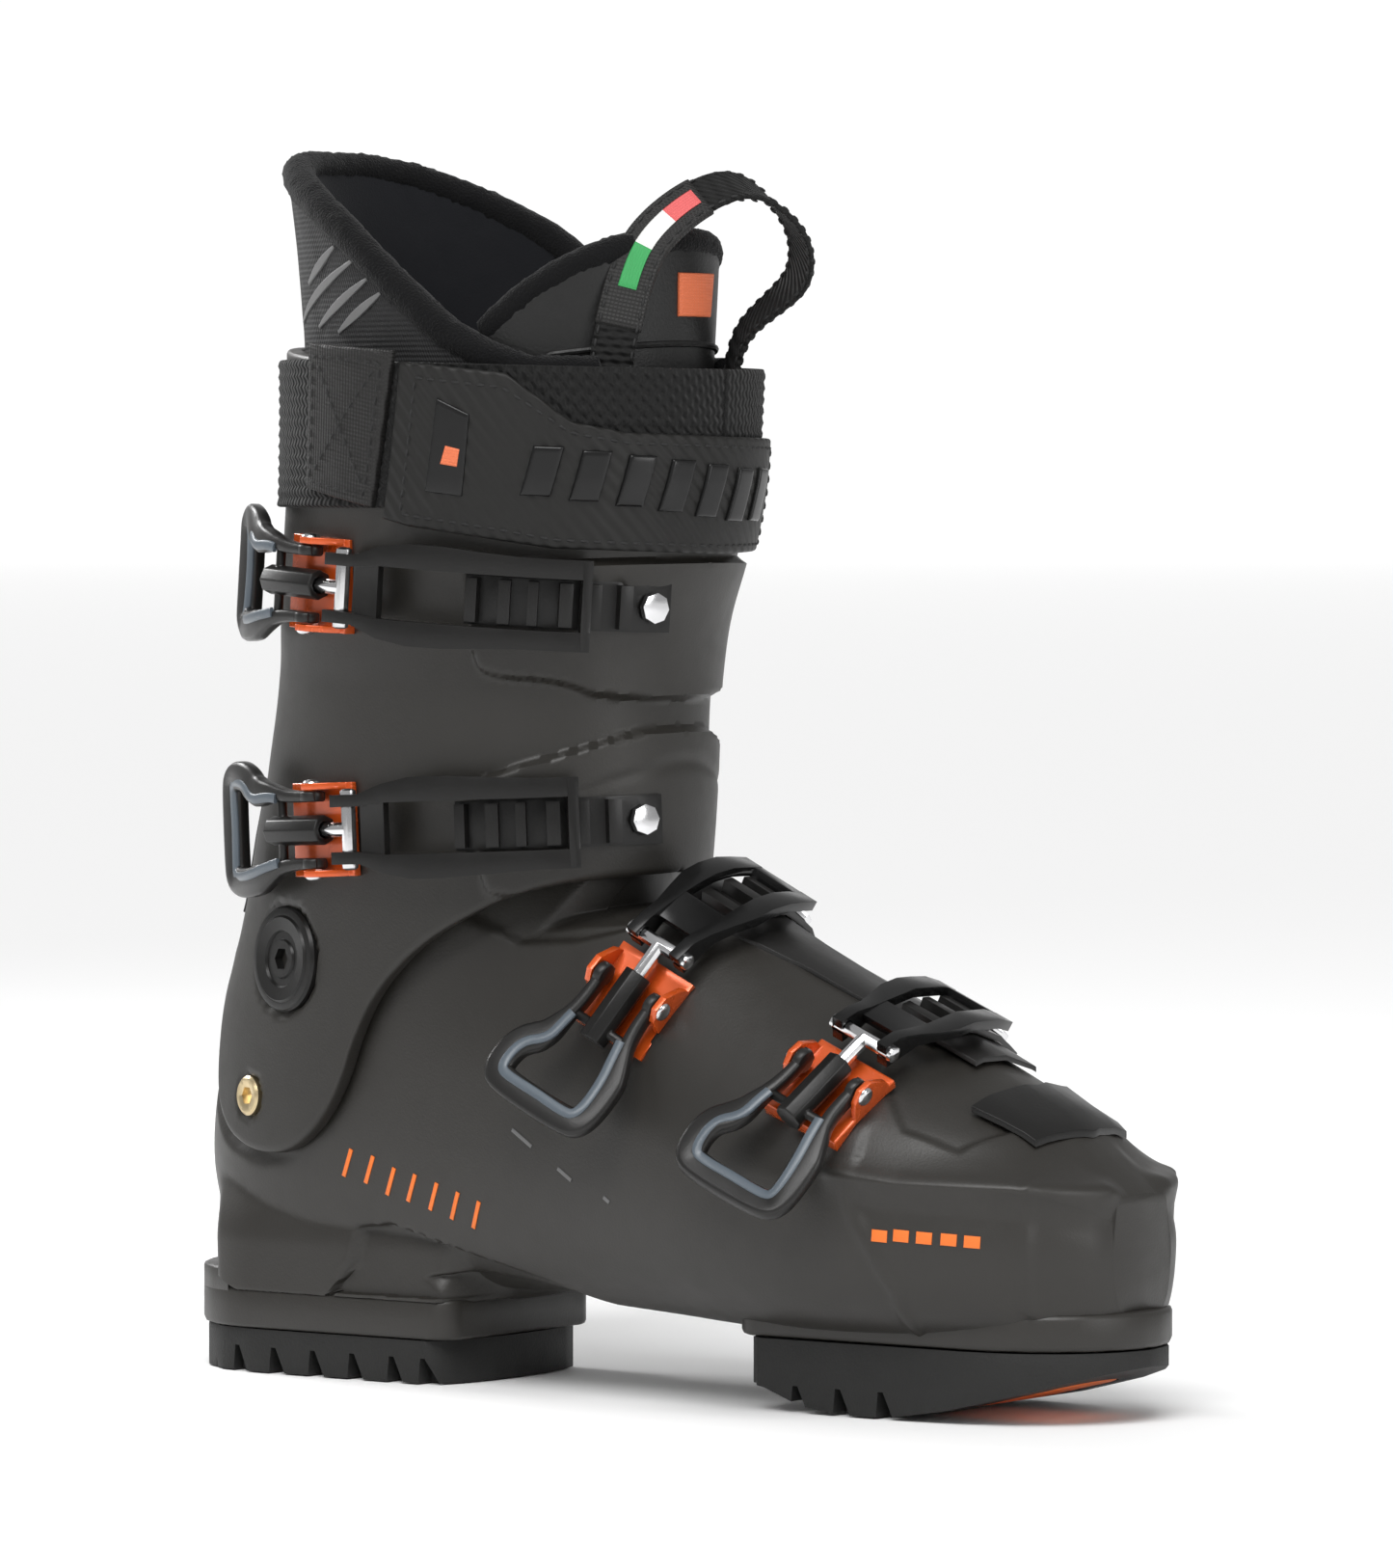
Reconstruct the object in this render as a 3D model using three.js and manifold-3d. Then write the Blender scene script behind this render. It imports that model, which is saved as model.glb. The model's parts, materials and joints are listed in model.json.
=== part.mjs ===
// Alpine ski boot, right foot, mondo 26.5: lower shell, hinged cuff, liner, four buckles, power strap.
// Millimetres. +X points to the toe, +Y to the inner ankle, +Z up. The origin lies on the flat bottom of
// the heel pad, on the centre plane.
import * as THREE from "three";
import { mergeVertices } from "three/addons/utils/BufferGeometryUtils.js";
import Module from "manifold-3d";

const wasm = await Module();
wasm.setup();

// ---- Driving dimensions ----
const SOLE_LENGTH = 315; // heel ledge to toe lug
const SHELL_WIDTH = 106; // across the forefoot
const CUFF_HEIGHT = 281; // sole to the cuff's top edge
const SHELL_WALL = 5;
const CUFF_WALL = 4.6;
const CUFF_GAP = 1.6; // between the lower shell's ankle and the cuff
const LINER_WALL = 6;
const TONGUE_WALL = 8;
const FLAP_STEP = 3.2; // how far an overlapping cuff flap stands out
const INSTEP_FLAP = 1.2; // thickness of the soft flap over the instep
const SHELL_TOP = 150; // rear top edge of the lower shell, inside the cuff
const CUFF_TILT = 5; // forward flex of the cuff, degrees
const PAD_WIDTH = 69; // sole lugs and pads
const HEEL_PAD_HEIGHT = 12;
const HEEL_LEDGE = 29; // top of the heel ledge
const TOE_LUG_BOTTOM = 19.8;
const TOE_LEDGE = 30; // top of the toe ledge
const STRAP_WIDTH = 50;
const STRAP_THICK = 1.8;
const BUCKLE_SPAN = 26; // across the ears of a buckle base
const CUFF_LEVER = 45; // ear rivets to the end of the finger loop, on the cuff
const SHELL_LEVER = 41; // the same on the lower shell
const BARREL_RADIUS = 4.2;
const ROD_RADIUS = 2.1;
const BAIL_WIDTH = 28;
const LADDER_WIDTH = 12;
const TOOTH_PITCH = 7.5;
const TOOTH_HEIGHT = 3.4;
const TOOTH_HALF = 1.4; // half of a tooth's length along the ladder
const BAR_HALF = 1.3; // half of the bail bar's
const BAR_BITE = 0.75; // how far the bar reaches below the teeth
const BAR_CLEAR = 0.5; // from the bar to the tooth ahead of it
const GAP = 0.4; // between pieces that touch
const RUNNING = 0.35; // round a pin in its hole

// Outlines below are written for the reference size and follow the driving dimensions through these.
const LENGTH_SCALE = SOLE_LENGTH / 315;
const WIDTH_SCALE = SHELL_WIDTH / 106;
const HEIGHT_SCALE = (CUFF_HEIGHT - SHELL_TOP) / (281 - SHELL_TOP);
const sx = (x) => x * LENGTH_SCALE;
const sy = (y) => y * WIDTH_SCALE;
// Heights follow the cuff only above the lower shell.
const zs = (z) => (z < SHELL_TOP ? z : SHELL_TOP + (z - SHELL_TOP) * HEIGHT_SCALE);
const HEEL_BACK = sx(-48);
const TOE_TIP = HEEL_BACK + SOLE_LENGTH;
const HEEL_FRONT = sx(57);
const TOE_LUG_REAR = sx(153);
const PIVOT = new THREE.Vector3(sx(4), 0, 117);

// ---- Solids ----
function solid(geometry) {
  const bare = (geometry.index ? geometry.toNonIndexed() : geometry).clone();
  for (const name of Object.keys(bare.attributes)) {
    if (name !== "position") bare.deleteAttribute(name);
  }
  const merged = mergeVertices(bare, 1e-4);
  const build = (triVerts) =>
    new wasm.Manifold(
      new wasm.Mesh({ numProp: 3, vertProperties: merged.attributes.position.array, triVerts }),
    );
  const made = build(new Uint32Array(merged.index.array));
  return made.volume() < 0 ? build(new Uint32Array(merged.index.array).reverse()) : made;
}

function geometryOf(body) {
  const mesh = body.getMesh();
  const geometry = new THREE.BufferGeometry();
  const positions = new Float32Array(mesh.numVert * 3);
  for (let i = 0; i < mesh.numVert; i++) {
    positions.set(mesh.vertProperties.subarray(i * mesh.numProp, i * mesh.numProp + 3), i * 3);
  }
  geometry.setAttribute("position", new THREE.BufferAttribute(positions, 3));
  geometry.setIndex(new THREE.BufferAttribute(new Uint32Array(mesh.triVerts), 1));
  geometry.computeVertexNormals();
  return geometry;
}

const union = (...bodies) => bodies.reduce((a, b) => a.add(b));

// A closed skin over equal rings of points, with a fan on each end.
function skin(rings) {
  const sides = rings[0].length;
  const points = rings.flat();
  const index = [];
  for (let r = 0; r + 1 < rings.length; r++) {
    for (let i = 0; i < sides; i++) {
      const a = r * sides + i;
      const b = r * sides + ((i + 1) % sides);
      index.push(a, b, b + sides, a, b + sides, a + sides);
    }
  }
  for (const [start, turn] of [[0, true], [(rings.length - 1) * sides, false]]) {
    const hub = points.length;
    const ring = points.slice(start, start + sides);
    points.push(ring.reduce((sum, p) => sum.add(p), new THREE.Vector3()).divideScalar(sides));
    for (let i = 0; i < sides; i++) {
      const a = start + i;
      const b = start + ((i + 1) % sides);
      index.push(...(turn ? [hub, b, a] : [hub, a, b]));
    }
  }
  const geometry = new THREE.BufferGeometry().setFromPoints(points);
  geometry.setIndex(index);
  return geometry;
}

function box(x0, x1, y0, y1, z0, z1) {
  const geometry = new THREE.BoxGeometry(x1 - x0, y1 - y0, z1 - z0);
  return solid(geometry.translate((x0 + x1) / 2, (y0 + y1) / 2, (z0 + z1) / 2));
}

// A round bar from one point to another.
function rod(from, to, radius, sides = 8) {
  const along = to.clone().sub(from);
  const geometry = new THREE.CylinderGeometry(radius, radius, along.length(), sides);
  geometry.applyQuaternion(
    new THREE.Quaternion().setFromUnitVectors(new THREE.Vector3(0, 1, 0), along.clone().normalize()),
  );
  const middle = from.clone().add(to).multiplyScalar(0.5);
  return solid(geometry.translate(middle.x, middle.y, middle.z));
}

// An outline in x and z, extruded along y.
function sidePrism(outline, y0, y1) {
  const shape = new THREE.Shape(outline.map(([x, z]) => new THREE.Vector2(x, z)));
  const geometry = new THREE.ExtrudeGeometry(shape, { depth: y1 - y0, bevelEnabled: false });
  geometry.rotateX(Math.PI / 2);
  return solid(geometry.translate(0, y1, 0));
}

// A sole outline with round ends: half circles squeezed to the given end lengths.
function padOutline(rear, front, rearRound, frontRound, width) {
  const steps = 8;
  const points = [];
  for (let i = 0; i <= steps; i++) {
    const turn = -Math.PI / 2 + (Math.PI * i) / steps;
    points.push([front - frontRound + frontRound * Math.cos(turn), (width / 2) * Math.sin(turn)]);
  }
  for (let i = 0; i <= steps; i++) {
    const turn = Math.PI / 2 + (Math.PI * i) / steps;
    points.push([rear + rearRound + rearRound * Math.cos(turn), (width / 2) * Math.sin(turn)]);
  }
  return points;
}

// An outline in x and y, extruded along z.
function plate(outline, z0, z1) {
  const shape = new THREE.Shape(outline.map(([x, y]) => new THREE.Vector2(x, y)));
  const geometry = new THREE.ExtrudeGeometry(shape, { depth: z1 - z0, bevelEnabled: false });
  return solid(geometry.translate(0, 0, z0));
}

// ---- Lofts ----
// A station is one closed section: its top and bottom points on the centre plane (x, z), its half width,
// how far up from the bottom it is widest, and how square it is above and below that.
const station = (topX, topZ, bottomX, bottomZ, half, widest, upper, lower) => [
  sx(topX), topZ, sx(bottomX), bottomZ, sy(half), widest, upper, lower,
];

const FOOT = [
  station(263.5, 61, 263.5, 27, 14, 0.8, 2.6, 3.4),
  station(260.5, 64, 259.5, 23, 22, 0.83, 1.9, 3.6),
  station(252, 71.5, 250, 20.5, 32, 0.8, 1.6, 3.8),
  station(240, 81, 238, 20, 40.5, 0.71, 1.6, 3.8),
  station(222, 91.5, 220, 19.5, 47, 0.62, 1.65, 3.6),
  station(200, 102, 200, 19, 51.2, 0.55, 1.75, 3.4),
  station(178, 112, 176, 19, 53, 0.49, 1.8, 3.2),
  station(158, 121.5, 150, 20, 51.5, 0.46, 1.85, 3),
  station(142, 130, 125, 21, 48.5, 0.46, 1.9, 2.8),
  station(128, 138, 100, 21, 45, 0.47, 1.95, 2.8),
  station(117, 144, 72, 20.5, 42, 0.48, 2, 2.8),
  station(109, 149, 42, 19, 40, 0.5, 2, 2.8),
  station(105, 154, 12, 18.5, 39.2, 0.5, 2, 2.7),
  station(103.3, 159, -16, 21, 39.2, 0.5, 2, 2.6),
  station(102.8, 163, -36, 31, 39.6, 0.5, 2, 2.4),
  station(102.8, 166, -45, 49, 40, 0.5, 2, 2.2),
  station(103, 168.5, -46, 68, 40.3, 0.52, 2, 2.1),
  station(103.3, 171, -42.5, 87, 40.6, 0.54, 2, 2),
  station(103.7, 173.5, -36, 106, 41, 0.55, 2, 2),
  station(104, 176, -29, 124, 41.5, 0.56, 2, 2),
  station(104.4, 179, -24, 142, 42, 0.57, 2, 2),
  station(105, 183, -20, 160, 42.6, 0.57, 2, 2),
  station(105.5, 188, -17, 182, 43.2, 0.57, 2, 2),
];

const level = (z, back, front, half, widestX, square = 2.05) => [
  sx(front), zs(z), sx(back), zs(z),
  sy(half), (widestX - back) / (front - back), square, square,
];

const LEG = [
  level(40, -52, 84, 44.5, 40),
  level(70, -50, 92, 45.8, 42),
  level(95, -45, 99, 46.4, 45),
  level(117, -37.5, 104, 47, 47),
  level(131, -33, 107, 47.4, 48),
  level(150, -29, 109, 48, 50),
  level(167, -24.2, 110, 49, 51),
  level(195, -19, 110.5, 50.5, 54),
  level(212, -17.5, 113, 52.5, 54),
  level(230, -15.8, 119, 54.5, 55.5),
  level(250, -13.5, 123, 56.5, 57),
  level(283, -12.5, 125, 58, 57),
  level(312, -15, 127, 58.5, 56),
  level(345, -20, 129, 58, 54),
];

// Catmull-Rom stations between the given ones.
function refine(stations, perSpan) {
  const at = (i) => stations[Math.max(0, Math.min(stations.length - 1, i))];
  const fine = [];
  for (let i = 0; i + 1 < stations.length; i++) {
    for (let k = 0; k < perSpan; k++) {
      const t = k / perSpan;
      fine.push(
        at(i).map((b, f) => {
          const [a, c, d] = [at(i - 1)[f], at(i + 1)[f], at(i + 2)[f]];
          return b + 0.5 * t * (c - a + t * (2 * a - 5 * b + 4 * c - d + t * (3 * (b - c) + d - a)));
        }),
      );
    }
  }
  return [...fine, at(stations.length - 1)];
}

function section([topX, topZ, bottomX, bottomZ, half, widest, upper, lower], grow, sides, shiftX = 0) {
  const up = new THREE.Vector3(topX - bottomX, 0, topZ - bottomZ);
  const tall = up.length();
  up.normalize();
  const middle = new THREE.Vector3(bottomX + shiftX, 0, bottomZ).addScaledVector(up, widest * tall);
  const ring = [];
  for (let i = 0; i < sides; i++) {
    const turn = (2 * Math.PI * (i + 0.5)) / sides;
    const [c, s] = [Math.cos(turn), Math.sin(turn)];
    const power = 2 / (c > 0 ? upper : lower);
    const reach = (c > 0 ? (1 - widest) * tall : widest * tall) + grow;
    const point = middle.clone().addScaledVector(up, reach * Math.sign(c) * Math.abs(c) ** power);
    point.y = (half + grow) * Math.sign(s) * Math.abs(s) ** power;
    ring.push(point);
  }
  return ring;
}

// The foot and leg lofts, grown by a distance. The toe's first stations move with the growth.
const TOE_STATIONS = 6;
function footLoft(grow, sides = 20, perSpan = 1) {
  const shift = (i) => grow * Math.max(0, 1 - i / (TOE_STATIONS * perSpan));
  return skin(refine(FOOT, perSpan).map((one, i) => section(one, grow, sides, shift(i))));
}
const legLoft = (grow, sides = 20, perSpan = 1) =>
  skin(refine(LEG, perSpan).map((one) => section(one, grow, sides)));

const foot = (grow, sides) => solid(footLoft(grow, sides));
const leg = (grow, sides) => solid(legLoft(grow, sides));
const FAR = 1000;
const above = (z) => box(-FAR, FAR, -FAR, FAR, z, FAR);
const below = (z) => box(-FAR, FAR, -FAR, FAR, -FAR, z);
const ringWall = (outer, inner, sides) => leg(outer, sides).subtract(leg(inner, sides));

const FLEX_STEPS = 12;
// The same body turned about the ankle pivot, as the cuff turns when it flexes forward.
function flexed(body, degrees) {
  return body
    .translate([-PIVOT.x, 0, -PIVOT.z])
    .rotate([0, degrees, 0])
    .translate([PIVOT.x, 0, PIVOT.z]);
}
const swept = (body) =>
  union(
    ...Array.from({ length: FLEX_STEPS + 1 }, (_, step) => flexed(body, (CUFF_TILT * step) / FLEX_STEPS)),
  );

// ---- Places on the boot's surface ----
function surfaceOf(geometry) {
  return new THREE.Mesh(geometry, new THREE.MeshBasicMaterial({ side: THREE.DoubleSide }));
}
const FOOT_SURFACE = surfaceOf(footLoft(0));
const LEG_SURFACE = surfaceOf(legLoft(0));

function hitFrom(surface, from, direction) {
  const hits = new THREE.Raycaster(from, direction.clone().normalize()).intersectObject(surface);
  return hits[hits.length - 1].point;
}

// A path over a surface in the plane of two directions, met by rays from a centre. It starts at one angle
// and runs towards the other, and is read by arc length from a third.
function wrap(surface, centre, ahead, aside, start, end, zero) {
  const steps = 60;
  const across = aside.clone().cross(ahead).normalize();
  const points = [];
  const angles = [];
  for (let i = 0; i <= steps; i++) {
    const angle = THREE.MathUtils.degToRad(start + ((end - start) * i) / steps);
    const ray = ahead.clone().multiplyScalar(Math.cos(angle)).addScaledVector(aside, Math.sin(angle));
    points.push(hitFrom(surface, centre, ray));
    angles.push(start + ((end - start) * i) / steps);
  }
  const lengths = [0];
  for (let i = 1; i <= steps; i++) lengths.push(lengths[i - 1] + points[i].distanceTo(points[i - 1]));
  const zeroStep = ((zero - start) / (end - start)) * steps;
  const offset = lengths[Math.round(zeroStep)];
  const pointAt = (s) => {
    let i = 1;
    while (i < steps && lengths[i] - offset < s) i++;
    const share = (s + offset - lengths[i - 1]) / (lengths[i] - lengths[i - 1]);
    return points[i - 1].clone().lerp(points[i], share);
  };
  return (s) => {
    const point = pointAt(s);
    const forward = pointAt(s + 4).sub(pointAt(s - 4)).normalize();
    const out = forward.clone().cross(across).normalize();
    return { point, forward, across, out };
  };
}

// A strip that follows a path: from one arc length to another, between two heights and two sides, each a
// number or a function of the arc length.
function strip(path, from, to, low, high, left, right, steps = 8) {
  const value = (v, s) => (typeof v === "function" ? v(s) : v);
  const rings = [];
  for (let i = 0; i <= steps; i++) {
    const s = from + ((to - from) * i) / steps;
    const { point, across, out } = path(s);
    const corner = (side, height) =>
      point.clone().addScaledVector(across, value(side, s)).addScaledVector(out, value(height, s));
    rings.push([corner(left, low), corner(right, low), corner(right, high), corner(left, high)]);
  }
  return solid(skin(rings));
}

const mix = (a, b, t) => a + (b - a) * Math.max(0, Math.min(1, t));
const frameMatrix = ({ point, forward, across, out }) =>
  new THREE.Matrix4().makeBasis(forward, across, out).setPosition(point);

// ---- Materials ----
const finish = (color, roughness, metalness = 0) =>
  new THREE.MeshStandardMaterial({ color, roughness, metalness });
const SHELL = finish("#3b3936", 0.55);
const SOFT_FLAP = finish("#2a2927", 0.5);
const RUBBER = finish("#1b1b1b", 0.8);
const ORANGE_RUBBER = finish("#e2571c", 0.6);
const BLACK = finish("#161616", 0.35);
const ORANGE = finish("#d8481a", 0.3, 0.4);
const GREY = finish("#56606a", 0.5);
const STEEL = finish("#c4c6c9", 0.2, 1);
const BRASS = finish("#c9b48a", 0.3, 1);
const FABRIC = finish("#262626", 0.95);
const WEBBING = finish("#1d1d1d", 0.9);
const FOAM = finish("#3a3a3a", 0.9);

const boot = new THREE.Group();
function add(name, body, material, parent = boot) {
  const mesh = new THREE.Mesh(geometryOf(body), material);
  mesh.name = name;
  parent.add(mesh);
  return mesh;
}

// ---- Cuff outline, seen from the side ----
// Rear edge, round lobe over the ankle, and front edge rising to the instep.
const LOBE = new THREE.Vector2(sx(-11.5), 78); // the cant screw's place in the lobe
const CUFF_OUTLINE = [
  [sx(-90), 119], [sx(-36), 114], [sx(-32), 99], [sx(-31), 83], [sx(-28), 73], [sx(-21), 66], [sx(-8), 62],
  [sx(6), 63], [sx(18), 71], [sx(27), 83], [sx(32), 96], [sx(41), 110], [sx(56), 122.5], [sx(71), 131],
  [sx(86), 138], [sx(96), 140.5], [sx(112), 143], [sx(170), 152], [sx(170), CUFF_HEIGHT],
  [sx(60), CUFF_HEIGHT], [sx(0), CUFF_HEIGHT + 6], [sx(-90), CUFF_HEIGHT + 8],
];
const cuffRegion = sidePrism(CUFF_OUTLINE, -FAR / 4, FAR / 4);
const UPPER_FLAP = [
  [sx(79), zs(228)], [sx(76), zs(224)], [sx(76), zs(201)], [sx(80), zs(197)], [sx(96), zs(196)],
  [sx(104), zs(190)], [sx(170), zs(189)], [sx(170), zs(229)],
];
const LOWER_FLAP = [
  [sx(79), 140], [sx(75), zs(144)], [sx(75), zs(166)], [sx(79), zs(170)], [sx(100), zs(177)],
  [sx(112), zs(184)], [sx(170), zs(188)], [sx(170), 140],
];
const flapOf = (outline) =>
  ringWall(FLAP_STEP, -CUFF_WALL / 2).intersect(sidePrism(outline, -FAR / 4, FAR / 4));
const cuffBlank = union(ringWall(0, -CUFF_WALL), flapOf(UPPER_FLAP), flapOf(LOWER_FLAP)).intersect(
  cuffRegion,
);

// ---- Buckles ----
const AXIS_X = (tilt) => {
  const angle = THREE.MathUtils.degToRad(tilt);
  return new THREE.Vector3(Math.cos(angle), 0, Math.sin(angle));
};
const LATERAL = new THREE.Vector3(0, -1, 0);
// Each buckle: the surface that it wraps, the centre and plane of its path, the angle of its ear rivets,
// how far along its path the first ladder tooth and the ladder's screw come, the tooth that the bail's bar
// stops short of, and how far the lever's end stands off the boot.
const BUCKLES = [
  {
    name: "top_cuff_buckle", surface: LEG_SURFACE, centre: new THREE.Vector3(sx(54), 0, zs(220)),
    ahead: AXIS_X(-4), zero: 119, end: -30, teeth: 6, first: 53, hook: 4, screw: 99,
    lever: CUFF_LEVER, standOff: 7,
  },
  {
    name: "lower_cuff_buckle", surface: LEG_SURFACE, centre: new THREE.Vector3(sx(51), 0, zs(155)),
    ahead: AXIS_X(2.5), zero: 120, end: -30, teeth: 6, first: 48, hook: 4, screw: 94,
    lever: CUFF_LEVER, standOff: 7,
  },
  {
    name: "instep_buckle", surface: FOOT_SURFACE, centre: new THREE.Vector3(sx(104.5), 0, 70),
    ahead: AXIS_X(64), zero: 40, end: -75, teeth: 4, first: 34, hook: 3, screw: 70,
    lever: SHELL_LEVER, standOff: 21,
  },
  {
    name: "toe_buckle", surface: FOOT_SURFACE, centre: new THREE.Vector3(sx(179.5), 0, 60),
    ahead: AXIS_X(66.5), zero: 55, end: -85, teeth: 4, first: 35, hook: 3, screw: 71,
    lever: SHELL_LEVER, standOff: 19,
  },
];
const PIN_HEIGHT = 7.4;
const BARREL_PIN = -13; // behind the ear rivets
const BAIL_PIN = 15; // ahead of them
const EAR = 1.8;
const ARM = 3.2;

// Pieces whose shape does not depend on the boot, in the buckle's own frame: x towards the ladder, y along
// the rivets, z away from the boot, with the origin between the two ear rivets.
const flatPath = (drop, length) => (s) => {
  const sag = (v) => (v < -10 ? -drop * ((v + 10) / (length - 10)) ** 2 : 0);
  const slope = (sag(s + 0.5) - sag(s - 0.5)) / 1;
  return {
    point: new THREE.Vector3(s, 0, sag(s)),
    forward: new THREE.Vector3(1, 0, slope).normalize(),
    across: new THREE.Vector3(0, 1, 0),
    out: new THREE.Vector3(-slope, 0, 1).normalize(),
  };
};
const earInside = BUCKLE_SPAN / 2 - EAR;
const armOuter = earInside - GAP;
const armInner = armOuter - ARM;

function leverBody(drop, length) {
  const path = flatPath(drop, length);
  const outer = (s) => mix(armOuter, 16.5, (-s - 13) / 12);
  const inner = (s) => mix(armInner, 11.5, (-s - 13) / 12);
  const arms = [1, -1].map((side) =>
    strip(path, 3.4, -length, -2.2, 2.2, (s) => side * inner(s), (s) => side * outer(s), 7),
  );
  const bar = strip(path, -length + 5.5, -length, -2.2, 2.2, -14, 14, 2);
  const trunnions = [1, -1].map((side) =>
    rod(
      new THREE.Vector3(0, side * (armOuter - 1), 0),
      new THREE.Vector3(0, side * (BUCKLE_SPAN / 2), 0),
      1.6,
    ),
  );
  const socket = rod(
    new THREE.Vector3(BARREL_PIN, -armOuter - 3, 0),
    new THREE.Vector3(BARREL_PIN, armOuter + 3, 0),
    1.4 + RUNNING,
  );
  return union(...arms, bar, ...trunnions).subtract(socket);
}

function inlayBody(drop, length) {
  const path = flatPath(drop, length);
  const low = 2.2 + GAP;
  const sides = [1, -1].map((side) =>
    strip(path, -21, -length + 1, low, low + 0.9, side * 12.2, side * 14.6, 3),
  );
  return union(...sides, strip(path, -length + 3.6, -length + 1, low, low + 0.9, -14, 14, 1));
}

function barrelBody() {
  const tail = new THREE.Vector3(BARREL_PIN - 4, 0, 0);
  const nose = new THREE.Vector3(5, 0, 0);
  const bore = rod(new THREE.Vector3(-9, 0, 0), nose.clone().setX(7), ROD_RADIUS + RUNNING);
  const trunnion = rod(
    new THREE.Vector3(BARREL_PIN, -armInner - 2, 0),
    new THREE.Vector3(BARREL_PIN, armInner + 2, 0),
    1.4,
  );
  return union(rod(tail, nose, BARREL_RADIUS, 8).subtract(bore), trunnion);
}

function rodBody() {
  return union(
    rod(new THREE.Vector3(-4.5, 0, 0), new THREE.Vector3(BAIL_PIN, 0, 0), ROD_RADIUS, 10),
    rod(new THREE.Vector3(BAIL_PIN, -9.8, 0), new THREE.Vector3(BAIL_PIN, 9.8, 0), 2, 10),
  );
}

const drills = { cuff: [], shell: [], swept: [] };
const shellClear = foot(GAP);
const instepClear = foot(INSTEP_FLAP + 2 * GAP);
const cuffClear = leg(GAP);
const flapClear = leg(FLAP_STEP + GAP);

const EAR_OUTLINE = [[-7, -12], [11, -12], [8, -2], [3.2, 2.8], [-1, 3.2], [-4, 0.5]];

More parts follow.
